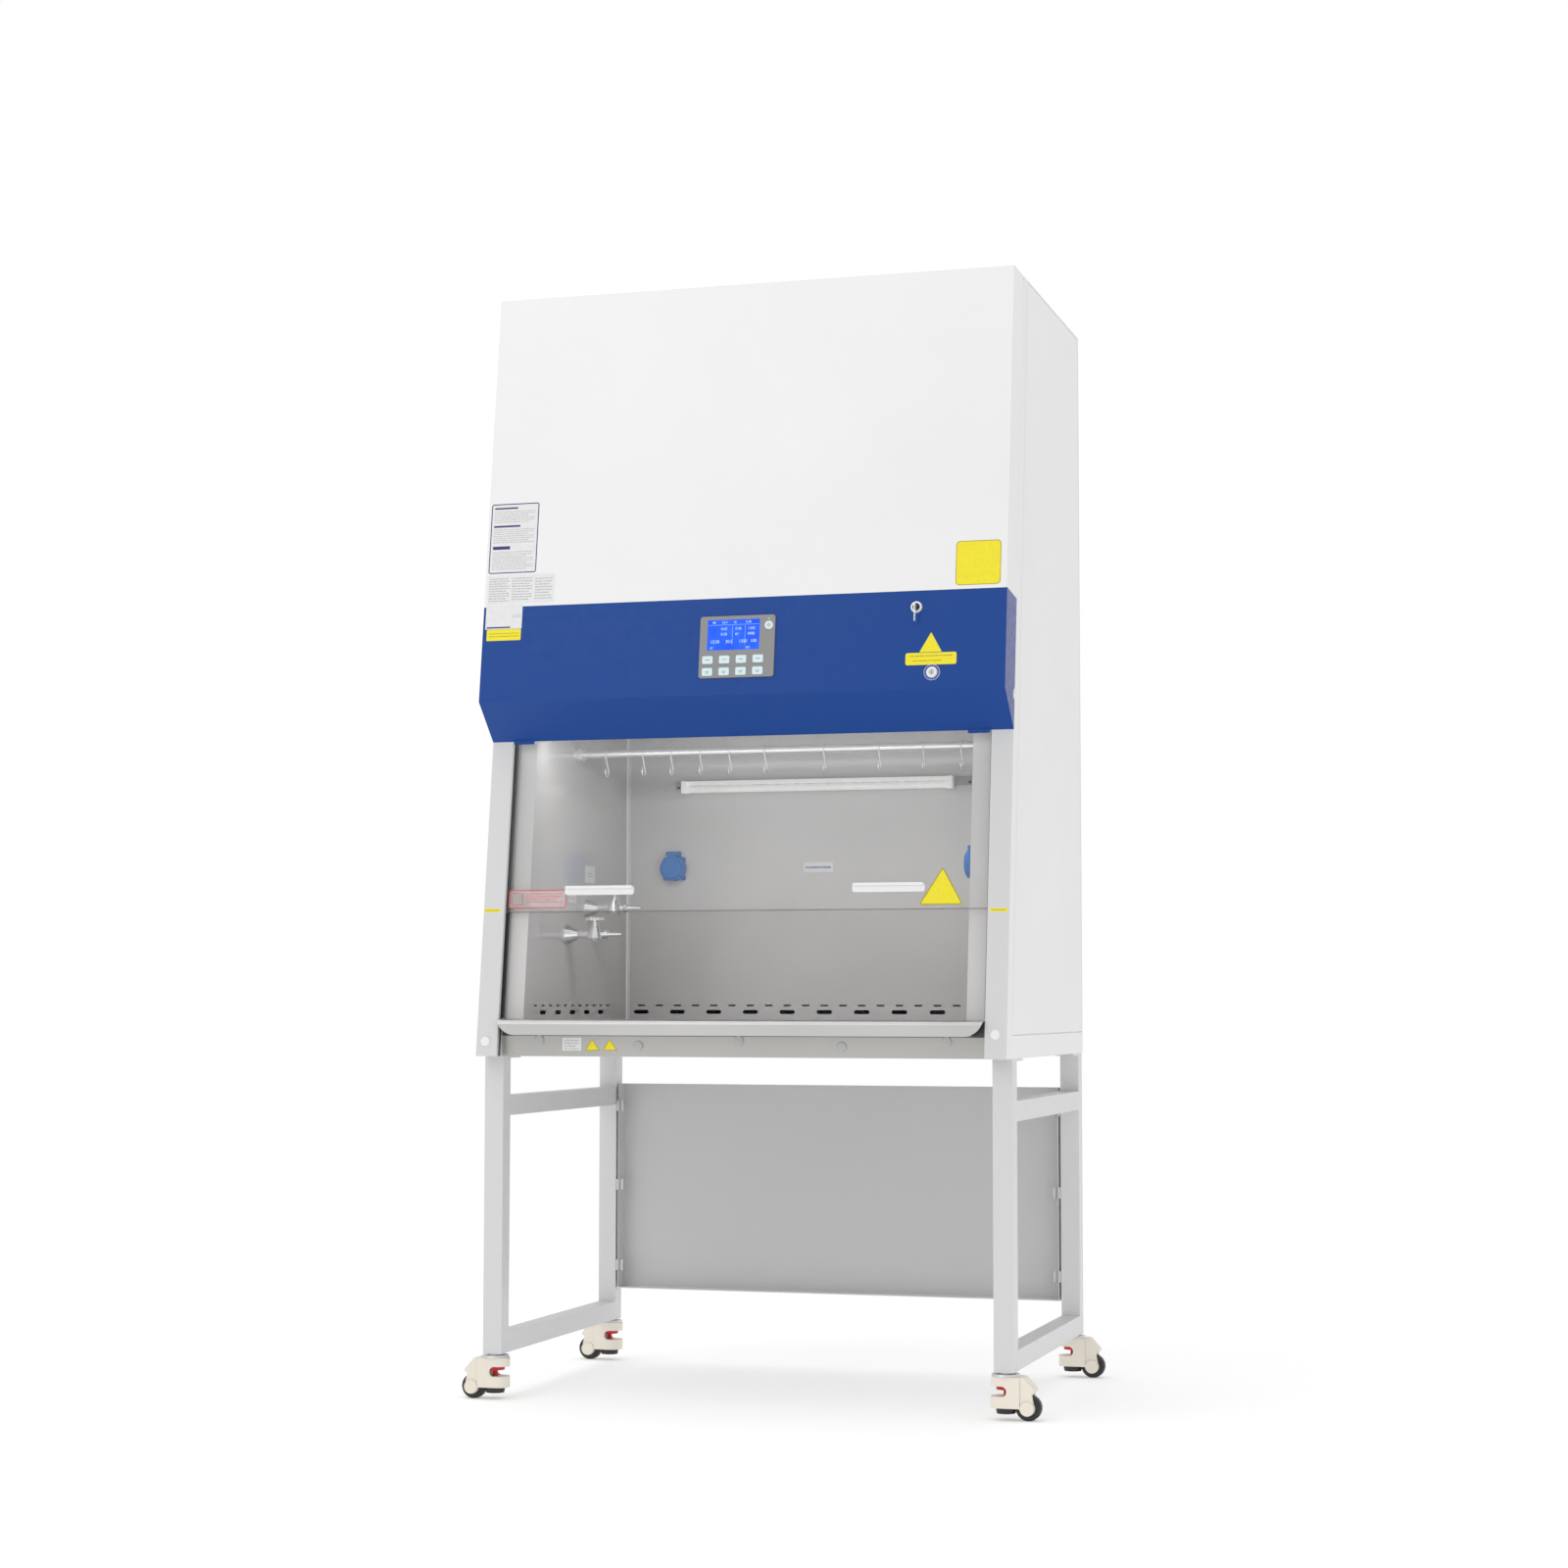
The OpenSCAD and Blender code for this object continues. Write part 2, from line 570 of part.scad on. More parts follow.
// One S-hook hanging over the rod, with rounded wire ends
module s_hook() {
    loop_r = rod_r + move_gap + wire_r;
    drop = 61.5 - 2 * (loop_r + wire_r);
    lean = asin(2 * loop_r / drop);
    rotate([90, 0, 90]) {
        rotate([0, 0, -40]) hook_arc(loop_r, 220 + lean);
        translate([0, -drop]) rotate([0, 0, 140]) hook_arc(loop_r, 220 + lean);
        translate([-loop_r * cos(lean), -loop_r * sin(lean)]) rotate([90, 0, lean])
            translate([0, 0, -0.5]) cylinder(r = wire_r - 0.04, h = drop * cos(lean) + 1, $fn = 24);
        translate([loop_r * cos(40), -loop_r * sin(40)]) sphere(wire_r + 0.25, $fn = 24);
        translate([-loop_r * cos(40), loop_r * sin(40) - drop]) sphere(wire_r + 0.25, $fn = 24);
    }
}

module hook_arc(r, turn)
    rotate_extrude(angle = turn) translate([r, 0]) circle(wire_r, $fn = 24);

module hooks() color(chrome)
    for (x = hook_x) translate([x, rod_y, rod_z]) s_hook();

// Germicidal lamp on the back wall, and the work light under the hood
module lamps() color([0.86, 0.86, 0.85]) {
    lamp_z = stand_h + 582.5;
    lamp_y = chamber_y - 17;
    box(-345, 339, chamber_y - 4, chamber_y, lamp_z - 1, lamp_z + 19);
    box(-312, 283, lamp_y - 2, chamber_y - 3, lamp_z + 9.5, lamp_z + 18.5);
    for (x = [-324, 283]) box(x, x + 12, lamp_y - 10, chamber_y - 3, lamp_z - 8.5, lamp_z + 18.5);
    translate([-313, lamp_y, lamp_z]) rotate([0, 90, 0]) cylinder(r = rod_r, h = 597);
    for (x = [-336.5, -278, 267, 330.7])
        translate([x, chamber_y - 3.5, lamp_z + 5.5]) rotate([90, 0, 0]) cylinder(r = 3.2, h = 2.5);
    slope_plate(0, 34) translate([0, lip_h + 62]) square([body_w - 24, 24], center = true);
    for (x = [-half_w + 40, half_w - 52]) slope_plate(-12, 16) translate([x + 6, lip_h + 43]) square([12, 18], center = true);
    on_slope() translate([-half_w + 45, -20, lip_h + 42]) rotate([0, 90, 0]) cylinder(r = 6.5, h = body_w - 90);
}

// Waterproof socket outlet looking out of a wall: hinged round lid over a screwed base
module socket_base() color([0.24, 0.45, 0.73]) rotate([90, 0, 0]) {
    difference() {
        union() {
            cylinder(r = 27.5, h = 13);
            for (a = [45:90:315]) rotate([0, 0, a]) translate([29, 0, 0]) cylinder(r = 5.5, h = 6);
            for (a = [45:90:315]) rotate([0, 0, a]) translate([24, -5.5, 0]) cube([5, 11, 6]);
            translate([-15, 20, 0]) cube([30, 18, 10]);
            for (x = [-15, 9.5]) translate([x, 33, 9]) {
                translate([0, -4, -1]) cube([5.5, 8, 8]);
                translate([0, 0, 7]) rotate([0, 90, 0]) cylinder(r = 4, h = 5.5);
            }
        }
        for (x = [-9.5, 9.5]) translate([x, 0, 3]) cylinder(r = 2.5, h = 11);
        translate([-16, 33, 16]) rotate([0, 90, 0]) cylinder(r = 1.5, h = 32);
    }
    translate([-15, 33, 16]) rotate([0, 90, 0]) cylinder(r = 1.5, h = 30);
    for (a = [45:90:315]) rotate([0, 0, a]) translate([29, 0, 5.5]) cylinder(r = 3.2, h = 2);
}

module socket_lid() color([0.24, 0.45, 0.73]) rotate([90, 0, 0]) difference() {
    union() {
        translate([0, 0, 13 + move_gap]) cylinder(r = 28, h = 9);
        translate([0, 0, 22]) cylinder(r1 = 24, r2 = 22, h = 4);
        translate([-9, 14, 13 + move_gap]) cube([18, 19, 6.7]);
        translate([-9, 33, 16]) rotate([0, 90, 0]) cylinder(r = 4, h = 18);
    }
    translate([-10, 33, 16]) rotate([0, 90, 0]) cylinder(r = 1.5 + run_gap, h = 20);
    translate([0, 0, 12]) cylinder(r = 22, h = 6);
}

module at_back_socket() translate([-347, chamber_y, stand_h + 407]) children();
module at_side_socket()
    translate([chamber_x, fy(stand_h + 385) + 106.7, stand_h + 385]) rotate([0, 0, -90]) children();

module socket_bases() {
    at_back_socket() socket_base();
    at_side_socket() socket_base();
}
module socket_lid_back() at_back_socket() socket_lid();
module socket_lid_side() at_side_socket() socket_lid();

tap_at = [[chamber_y - 257, stand_h + 311.8], [chamber_y - 379, stand_h + 252.5]];
bonnet_x = 64;

// Gas or vacuum tap standing out of the side wall, with a serrated hose nozzle
module tap_body() difference() {
    union() {
        rotate([0, 90, 0]) {
            cylinder(r = 22, h = 3);
            translate([0, 0, 2.9]) cylinder(r1 = 21, r2 = 9, h = 25);
            translate([0, 0, 26]) cylinder(r = 8.6, h = 48);
            translate([0, 0, 73]) cylinder(r1 = 8.6, r2 = 6, h = 14);
            translate([0, 0, 86]) cylinder(r = 9.5, h = 8);
            for (k = [0:4]) translate([0, 0, 93.9 + k * 6]) cylinder(r1 = 5.6 - k * 0.35, r2 = 4.2 - k * 0.3, h = 6.2);
        }
        translate([bonnet_x, 0, -13]) cylinder(r1 = 17, r2 = 20, h = 5);
        translate([bonnet_x, 0, -8.1]) cylinder(r1 = 20, r2 = 7, h = 30);
        translate([bonnet_x, 0, 21.8]) cylinder(r = 8, h = 4);
    }
    translate([bonnet_x, 0, 12]) cylinder(r = 3 + run_gap, h = 20);
    translate([100, 0, 0]) rotate([0, 90, 0]) cylinder(r = 2, h = 30);
}

// Fluted knob on its spindle
module tap_knob() translate([bonnet_x, 0, 0]) difference() {
    union() {
        translate([0, 0, 13]) cylinder(r = 3, h = 14);
        translate([0, 0, 26.1]) cylinder(r1 = 9, r2 = 21, h = 3);
        translate([0, 0, 29]) cylinder(r = 21.5, h = 6);
        translate([0, 0, 34.9]) cylinder(r1 = 20.5, r2 = 12, h = 3);
    }
    for (a = [0:30:330]) rotate([0, 0, a]) translate([24.2, 0, 25]) cylinder(r = 4, h = 12, $fn = 24);
}

module at_tap(k) translate([-chamber_x, tap_at[k][0], tap_at[k][1]]) children();
module tap_bodies() color(chrome) for (k = [0, 1]) at_tap(k) tap_body();
module tap_knob_upper() color(chrome) at_tap(0) tap_knob();
module tap_knob_lower() color(chrome) at_tap(1) tap_knob();

// Toughened pane of the sliding sash
module sash_glass() color([0.75, 0.85, 0.85, 0.35]) {
    on_slope() translate([-glass_x, glass_n, sash_open]) cube([2 * glass_x, glass_t, glass_len]);
}

module sash_handles() color(white) pair() {
    slope_plate(glass_n, 6) translate([chamber_x - 159, sash_open + 43]) round_rect(148, 18, 5);
    slope_plate(glass_n - 5.9, 6) translate([chamber_x - 159, sash_open + 49]) round_rect(144, 6, 2);
}

// Counterweights hanging between ribs of the side walls, each on an eye for its cable
module counterweights() color([0.3, 0.3, 0.3]) pair() on_slope() {
    translate([half_w - 54, weight_n - 11, weight_s]) cube([49.4, 22, weight_len]);
    translate([half_w - 48, weight_n - 3, weight_s + weight_len]) difference() {
        cube([12, 6, 14]);
        translate([6, -1, 8]) rotate([-90, 0, 0]) cylinder(r = 2.5, h = 8);
    }
}

// Cross shaft that keeps both ends of the sash level, with a grooved pulley at each end
module sash_shaft() color(steel) on_slope() translate([0, shaft_n, shaft_s]) rotate([0, 90, 0]) {
    translate([0, 0, -wall_in + 0.5]) cylinder(r = shaft_r, h = 2 * wall_in - 1);
    for (x = [-half_w + 42, half_w - 42]) translate([0, 0, x]) difference() {
        translate([0, 0, -6]) cylinder(r = pulley_r + 3, h = 12);
        rotate_extrude() translate([pulley_r + 3, 0]) circle(4, $fn = 24);
    }
}

// Air box above the chamber: sloping front, two sides, a rear sheet with the blower inlet, an upper deck
module plenum() color(steel) {
    back_y = chamber_y + sheet;
    difference() {
        union() {
            along_x(-plenum_x, plenum_x) polygon(band(62, 64, plenum_z0, plenum_z1));
            pair() along_x(plenum_x - sheet, plenum_x) polygon([[fy(plenum_z0) + 64, plenum_z0],
                [back_y, plenum_z0], [back_y, plenum_z1], [fy(plenum_z1) + 64, plenum_z1]]);
            box(-plenum_x, plenum_x, back_y - sheet, back_y, plenum_z0, plenum_z1);
            box(-plenum_x, plenum_x, fy(plenum_z1) + 62, back_y, plenum_z1, plenum_z1 + 2);
        }
        translate([0, back_y + 1, blower_z]) rotate([90, 0, 0]) cylinder(r = 95, h = 9);
        box(-195, 195, chamber_y - 214, chamber_y - 20, plenum_z1 - 1, plenum_z1 + 9);
    }
}

blower_z = stand_h + 1120;

// Framed high-efficiency filter with its pleats standing in rows
module filter_pack(w, d, h) difference() {
    translate([-w / 2, -d / 2, 0]) cube([w, d, h]);
    for (z = [-1, h - 11]) translate([-w / 2 + 18, -d / 2 + 18, z]) cube([w - 36, d - 36, 12]);
    for (k = [-8:8]) translate([k * (w - 60) / 17 - 4, -d / 2 + 18, 10]) cube([8, d - 36, (h - 20) / 3]);
}

module filters() color([0.9, 0.9, 0.86]) {
    supply_y0 = fy(chamber_z + filter_h) + 68;
    translate([0, (supply_y0 + chamber_y - 4) / 2, chamber_z + 2 * sheet + 0.2])
        filter_pack(2 * plenum_x - 16, chamber_y - 4 - supply_y0, filter_h);
    translate([0, chamber_y - 79, plenum_z1 + 2]) filter_pack(440, 320, z_top - plenum_z1 - 2);
}

// Motor on its bracket, hung from the plenum's deck, and the inlet ring of the fan
module blower() color([0.32, 0.34, 0.36]) {
    axis_y = chamber_y - 66;
    translate([0, axis_y - 22, blower_z]) rotate([90, 0, 0]) difference() {
        union() {
            cylinder(r = 62, h = 120);
            translate([0, 0, 118]) cylinder(r1 = 56, r2 = 40, h = 10);
            for (k = [0:6]) translate([0, 0, 10 + k * 15]) cylinder(r = 68, h = 5);
        }
        translate([0, 0, -1]) cylinder(r = 6 + run_gap, h = 40);
    }
    box(-210, 210, axis_y - 130, axis_y - 34, blower_z + 50, blower_z + 56);
    for (x = [-210, 206]) box(x, x + 4, axis_y - 130, axis_y - 34, blower_z + 55, plenum_z1);
    translate([0, chamber_y, blower_z]) rotate([90, 0, 0]) difference() {
        union() {
            cylinder(r = 110, h = 2);
            cylinder(r1 = 96, r2 = 78, h = 20);
        }
        translate([0, 0, -1]) cylinder(r1 = 93, r2 = 75, h = 22);
    }
}

// Backward-curved fan wheel on the motor's shaft
module impeller() color([0.7, 0.72, 0.74]) translate([0, chamber_y - 66, blower_z]) rotate([90, 0, 0]) {
    translate([0, 0, -2]) cylinder(r = 105, h = 3);
    translate([0, 0, -10]) cylinder(r = 20, h = 30);
    translate([0, 0, -10]) cylinder(r = 6, h = 60);
    translate([0, 0, -44]) difference() {
        cylinder(r = 105, h = 3);
        translate([0, 0, -1]) cylinder(r = 80, h = 5);
    }
    for (a = [0:40:320]) rotate([0, 0, a]) translate([50, 0, -42]) rotate([0, 0, 35])
        cube([48, 3, 41]);
}

// One leg with its head plate, foot plug, caster stem and washer
module stand_leg(y, inward) {
    difference() {
        box(half_w - leg, half_w, y - leg / 2, y + leg / 2, rail_low, stand_h - 5);
        box(half_w - leg + 2, half_w - 2, y - leg / 2 + 2, y + leg / 2 - 2, rail_low + 5, stand_h - 4);
        translate([foot_x, y, rail_low - 1]) cylinder(r = 6 + seam, h = 9);
    }
    box(half_w - leg, half_w, min(y - inward * leg / 2, y + inward * (leg / 2 + 57)),
        max(y - inward * leg / 2, y + inward * (leg / 2 + 57)), stand_h - 5 + seam, stand_h);
    translate([foot_x, y, 0]) {
        translate([0, 0, 66.5]) cylinder(r = 6, h = rail_low - 62.5);
        translate([0, 0, 84.3]) cylinder(r1 = 28.5, r2 = 27, h = 4.5);
        translate([0, 0, 88.7]) cylinder(r = 12, h = rail_low - 88.7 - seam);
    }
}

module side_rail(z) difference() {
    box(half_w - leg, half_w, foot_y0 + leg / 2 + seam, foot_y1 - leg / 2 - seam, z, z + leg);
    box(half_w - leg + 2, half_w - 2, foot_y0, foot_y1, z + 2, z + leg - 2);
}

module stand_frames() color([0.84, 0.84, 0.84]) pair() {
    stand_leg(foot_y0, 1);
    stand_leg(foot_y1, -1);
    side_rail(rail_low);
    side_rail(rail_high);
}

// Folded back panel between the rear legs, screwed to them by three tabs a side
module stand_back_panel() color([0.7, 0.7, 0.7]) {
    x = half_w - leg - 5;
    y0 = foot_y1 - leg / 2;
    y1 = foot_y1 + leg / 2;
    z0 = stand_h - 533;
    z1 = stand_h - 75;
    box(-x, x, y1 - sheet, y1, z0, z1);
    box(-x, x, y0, y1, z0, z0 + sheet);
    box(-x, x, y1 - 15, y1, z1 - sheet, z1);
    pair() {
        box(x - sheet, x, y0, y1, z0, z1);
        for (z = [52, 232, 409]) box(x, x + 5, y0, y0 + sheet, z0 + z - 12, z0 + z + 12);
        for (z = [52, 232, 409]) box(x - 14, x, y0, y0 + sheet, z0 + z - 12, z0 + z + 12);
    }
}

module caster_at(k) {
    y = k < 2 ? foot_y0 : foot_y1;
    mirror([k % 2, 0, 0]) translate([foot_x, y, 0]) children();
}

// Moulded body of a levelling caster: u runs outwards from the stem, the fork holds the wheel
module caster_housing() color(cream) difference() {
    intersection() {
        translate([0, 50, 0]) rotate([90, 0, 0]) linear_extrude(100) difference() {
            union() {
                polygon([[-30, 24], [31, 24], [58, 30], [53.5, 52], [60, 57], [57, 63], [40, 82],
                    [37, 84], [-26, 84], [-30, 80]]);
                translate([hub_u, wheel_r]) circle(14.5);
            }
            translate([-4.9, 56.1]) circle(9.9);
            translate([-41, 46.2]) square([36.1, 19.8]);
        }
        union() {
            translate([-7, 0, 0]) cylinder(r = 23, h = 100);
            translate([-7, -23, 0]) cube([38, 46, 100]);
            translate([30, -20.5, 0]) cube([31, 41, 100]);
        }
    }
    translate([0, 0, 60]) cylinder(r = 6 + run_gap, h = 30);
    translate([0, 0, 20]) cylinder(r = 5 + move_gap, h = 40);
    translate([0, 0, 46.2]) cylinder(r = 19.6, h = 19.8);
    translate([hub_u, 12.5, wheel_r]) rotate([90, 0, 0]) cylinder(r = wheel_r + 1.5, h = 25);
    translate([hub_u - 4, -12.5, -1]) cube([40, 25, wheel_r + 24]);
}

module caster_axle() translate([hub_u, 23.5, wheel_r]) rotate([90, 0, 0]) {
    cylinder(r = 14, h = 3.2);
    translate([0, 0, 43.8]) cylinder(r = 14, h = 3.2);
    cylinder(r = 4, h = 47);
}

// Wheel with a rounded tyre, running on the fixed axle
module caster_wheel() color(black) translate([hub_u, 0, wheel_r]) rotate([90, 0, 0]) difference() {
    union() {
        cylinder(r = wheel_r, h = 15, center = true);
        for (s = [0, 1]) mirror([0, 0, s]) {
            translate([0, 0, 7.4]) cylinder(r1 = wheel_r, r2 = wheel_r - 3.5, h = 4);
            translate([0, 0, 11]) cylinder(r = 9, h = 1.2);
        }
    }
    cylinder(r = 4 + run_gap, h = 40, center = true);
}

// Levelling foot: pad, threaded stem and the red thumbwheel that turns it
module caster_foot() {
    color(black) translate([0, 0, 13]) cylinder(r = 18.5, h = 4);
    color(black) translate([0, 0, 16.9]) cylinder(r = 19.5, h = 6.8);
    color([0.67, 0.08, 0.1]) {
        translate([0, 0, 20]) cylinder(r = 5, h = 40);
        translate([0, 0, 58.7]) difference() {
            cylinder(r = 19, h = 7);
            for (a = [0:20:340]) rotate([0, 0, a]) translate([20, 0, -1]) cylinder(r = 2, h = 9, $fn = 24);
        }
    }
}

module housing(k) caster_at(k) {
    caster_housing();
    caster_axle();
}
module caster_housing_1() housing(0);
module caster_housing_2() housing(1);
module caster_housing_3() housing(2);
module caster_housing_4() housing(3);
module caster_wheel_1() caster_at(0) caster_wheel();
module caster_wheel_2() caster_at(1) caster_wheel();
module caster_wheel_3() caster_at(2) caster_wheel();
module caster_wheel_4() caster_at(3) caster_wheel();
module caster_foot_1() caster_at(0) caster_foot();
module caster_foot_2() caster_at(1) caster_foot();
module caster_foot_3() caster_at(2) caster_foot();
module caster_foot_4() caster_at(3) caster_foot();
module key_1() key_cap(key_x[0], key_s[0]);
module key_2() key_cap(key_x[1], key_s[0]);
module key_3() key_cap(key_x[2], key_s[0]);
module key_4() key_cap(key_x[3], key_s[0]);
module key_5() key_cap(key_x[0], key_s[1]);
module key_6() key_cap(key_x[1], key_s[1]);
module key_7() key_cap(key_x[2], key_s[1]);
module key_8() key_cap(key_x[3], key_s[1]);

side_walls();
rear_wall();
roof();
exhaust_grille();
base_pan();
pillars();
access_panels();
front_cover();
fascia();
control_plate();
display();
key_1();
key_2();
key_3();
key_4();
key_5();
key_6();
key_7();
key_8();
power_key();
lock_barrels();
switch_key();
lock_core();
chamber_liner();
armrest();
lower_front_panel();
hole_caps();
work_tray();
diffuser();
hanger_rail();
hooks();
lamps();
socket_bases();
socket_lid_back();
socket_lid_side();
tap_bodies();
tap_knob_upper();
tap_knob_lower();
sash_glass();
sash_handles();
counterweights();
sash_shaft();
plenum();
filters();
blower();
impeller();
stand_frames();
stand_back_panel();
caster_housing_1();
caster_housing_2();
caster_housing_3();
caster_housing_4();
caster_wheel_1();
caster_wheel_2();
caster_wheel_3();
caster_wheel_4();
caster_foot_1();
caster_foot_2();
caster_foot_3();
caster_foot_4();
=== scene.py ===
import bpy
import bmesh
from math import cos, pi, radians, sin, tan
from mathutils import Matrix, Vector


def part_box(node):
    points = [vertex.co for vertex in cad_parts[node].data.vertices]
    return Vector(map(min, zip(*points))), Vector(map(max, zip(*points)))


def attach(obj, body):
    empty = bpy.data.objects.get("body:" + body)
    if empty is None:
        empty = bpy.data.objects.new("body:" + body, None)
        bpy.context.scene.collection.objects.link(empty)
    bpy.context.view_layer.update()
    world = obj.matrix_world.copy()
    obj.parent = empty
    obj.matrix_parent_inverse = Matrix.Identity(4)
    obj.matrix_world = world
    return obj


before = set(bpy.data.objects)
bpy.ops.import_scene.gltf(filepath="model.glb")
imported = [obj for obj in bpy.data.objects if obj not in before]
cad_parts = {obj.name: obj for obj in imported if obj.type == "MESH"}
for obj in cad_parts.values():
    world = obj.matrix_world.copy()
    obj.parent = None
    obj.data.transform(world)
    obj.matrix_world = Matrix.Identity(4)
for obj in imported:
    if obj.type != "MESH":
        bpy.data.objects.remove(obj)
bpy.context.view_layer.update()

# Camera: a long lens a little to the right of the cabinet and low, turned slightly up, so
# that the whole front shows with a narrow strip of the right side.
camera = bpy.data.objects.new("camera", bpy.data.cameras.new("camera"))
bpy.context.scene.collection.objects.link(camera)
camera.data.lens = 67.37
camera.data.sensor_width = 36
camera.data.clip_end = 60
camera.matrix_world = (Matrix.Translation((1.7383, -5.9557, 0.8054))
                       @ Matrix.Rotation(radians(16.388), 4, "Z")
                       @ Matrix.Rotation(radians(94.246), 4, "X")
                       @ Matrix.Rotation(radians(0.053), 4, "Z"))
bpy.context.scene.camera = camera
bpy.context.scene.view_settings.view_transform = "Standard"

# Studio: a wide white floor that runs away from the camera, under an even white sky, with
# one big soft lamp at the front left and a weaker one overhead.
FLOOR_REACH = 20
SKY_LIGHT = 0.80

floor_shape = bmesh.new()
bmesh.ops.create_grid(floor_shape, x_segments=8, y_segments=8, size=FLOOR_REACH)
floor_data = bpy.data.meshes.new("floor")
floor_shape.to_mesh(floor_data)
floor_shape.free()
floor = bpy.data.objects.new("floor", floor_data)
bpy.context.scene.collection.objects.link(floor)
floor_paint = bpy.data.materials.new("floor_paint")
floor_paint.use_nodes = True
floor_shader = floor_paint.node_tree.nodes["Principled BSDF"]
floor_shader.inputs["Base Color"].default_value = (0.94, 0.94, 0.94, 1)
floor_shader.inputs["Roughness"].default_value = 0.9
floor_shader.inputs["Specular IOR Level"].default_value = 0.1
floor_shader.inputs["Emission Color"].default_value = (1, 1, 1, 1)
floor_shader.inputs["Emission Strength"].default_value = 0.25
floor_data.materials.append(floor_paint)

sky = bpy.data.worlds.new("sky")
sky.use_nodes = True
sky_nodes = sky.node_tree.nodes
lighting = sky_nodes["Background"]
lighting.inputs["Color"].default_value = (1, 1, 1, 1)
lighting.inputs["Strength"].default_value = SKY_LIGHT
backdrop = sky_nodes.new("ShaderNodeBackground")
backdrop.inputs["Color"].default_value = (1, 1, 1, 1)
seen = sky_nodes.new("ShaderNodeLightPath")
either = sky_nodes.new("ShaderNodeMixShader")
sky.node_tree.links.new(seen.outputs["Is Camera Ray"], either.inputs["Fac"])
sky.node_tree.links.new(lighting.outputs["Background"], either.inputs[1])
sky.node_tree.links.new(backdrop.outputs["Background"], either.inputs[2])
sky.node_tree.links.new(either.outputs["Shader"], sky_nodes["World Output"].inputs["Surface"])
bpy.context.scene.world = sky


def soft_lamp(name, place, aim, width, watts, ratio=0.7):
    data = bpy.data.lights.new(name, "AREA")
    data.shape = "RECTANGLE"
    data.size = width
    data.size_y = width * ratio
    data.energy = watts
    lamp = bpy.data.objects.new(name, data)
    lamp.location = place
    lamp.rotation_euler = (Vector(aim) - Vector(place)).to_track_quat("-Z", "Y").to_euler()
    bpy.context.scene.collection.objects.link(lamp)
    return lamp


soft_lamp("front_lamp", (-2.8, -5.2, 4.6), (0, 0, 1.3), 3.5, 34)
soft_lamp("top_lamp", (-1.5, -1.0, 5.5), (0, 0, 1.0), 3.0, 22)

# Outer shell: folded steel sheets with a fine-textured white powder coat. The access
# panels and the hood's white cover are separate sheets in the same finish.


def material(name):
    made = bpy.data.materials.new(name)
    made.use_nodes = True
    return made, made.node_tree, made.node_tree.nodes["Principled BSDF"]


def add(tree, kind, **values):
    """A new node; a value goes to the input of its name, or else to the node's own setting."""
    made = tree.nodes.new(kind)
    for key, value in values.items():
        if key in made.inputs:
            made.inputs[key].default_value = value
        else:
            setattr(made, key, value)
    return made


def grain(tree, scale, detail=2.0, stretch=(1, 1, 1)):
    """Noise fixed to the piece, about 0.3 to 0.7, drawn out along an axis where stretch is small."""
    place = add(tree, "ShaderNodeTexCoord")
    drawn_out = add(tree, "ShaderNodeMapping")
    drawn_out.inputs["Scale"].default_value = stretch
    noise = add(tree, "ShaderNodeTexNoise", Scale=scale, Detail=detail)
    tree.links.new(place.outputs["Object"], drawn_out.inputs["Vector"])
    tree.links.new(drawn_out.outputs["Vector"], noise.inputs["Vector"])
    return noise.outputs["Fac"]


def spread(tree, source, low, high):
    fit = add(tree, "ShaderNodeMapRange")
    fit.inputs["From Min"].default_value = 0.3
    fit.inputs["From Max"].default_value = 0.7
    fit.inputs["To Min"].default_value = low
    fit.inputs["To Max"].default_value = high
    tree.links.new(source, fit.inputs["Value"])
    return fit.outputs["Result"]


def tint(tree, source, dark, light):
    blend = add(tree, "ShaderNodeMix", data_type="RGBA")
    blend.inputs["A"].default_value = (*dark, 1)
    blend.inputs["B"].default_value = (*light, 1)
    tree.links.new(spread(tree, source, 0, 1), blend.inputs["Factor"])
    return blend.outputs["Result"]


def relief(tree, shader, height, strength, depth):
    bump = add(tree, "ShaderNodeBump", Strength=strength, Distance=depth)
    tree.links.new(height, bump.inputs["Height"])
    tree.links.new(bump.outputs["Normal"], shader.inputs["Normal"])
    return bump


def coated(name, colour, rough, vary=0.015, peel=900, depth=0.00006, edge=0.0012, gleam=0.5):
    """A coat of paint or moulded plastic, with a fine peel and softened edges."""
    made, tree, shader = material(name)
    light = [min(1, c * (1 + vary)) for c in colour]
    dark = [c * (1 - vary) for c in colour]
    tree.links.new(tint(tree, grain(tree, 2.5, 3), dark, light), shader.inputs["Base Color"])
    tree.links.new(spread(tree, grain(tree, 30, 3), rough - 0.04, rough + 0.04), shader.inputs["Roughness"])
    bump = relief(tree, shader, grain(tree, peel), 0.6, depth)
    soft_edge = add(tree, "ShaderNodeBevel", Radius=edge)
    soft_edge.samples = 4
    tree.links.new(soft_edge.outputs["Normal"], bump.inputs["Normal"])
    shader.inputs["Specular IOR Level"].default_value = gleam
    return made


def finish_node(made, *names):
    for name in names:
        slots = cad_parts[name].data.materials
        slots.clear()
        slots.append(made)


white_coat = coated("white_coat", (0.86, 0.86, 0.86), 0.42)
finish_node(white_coat, "side_walls", "rear_wall", "roof", "access_panels", "front_cover")

# Front pillars: folded channels, coated white on their outer sides; their fronts take a darker
# grey that is painted shade. They lean back with the rake of the whole front. A near-black
# band of painted shade stands on the inner wall of each, where the sash channel lies in shadow.
RAKE = radians(7.15)
pillars_low, pillars_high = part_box("pillars")
FRONT_FOOT = Vector((0, pillars_low.y, pillars_low.z))
PILLAR_SIDE = pillars_high.x - 0.0008
# Where the near-black painted shade of the sash channel lies on the pillars' inner walls.
CHANNEL_SHADE_REACH = 0.5162
CHANNEL_SHADE_FRONT = 0.0093
CHANNEL_SHADE_BACK = 0.0209


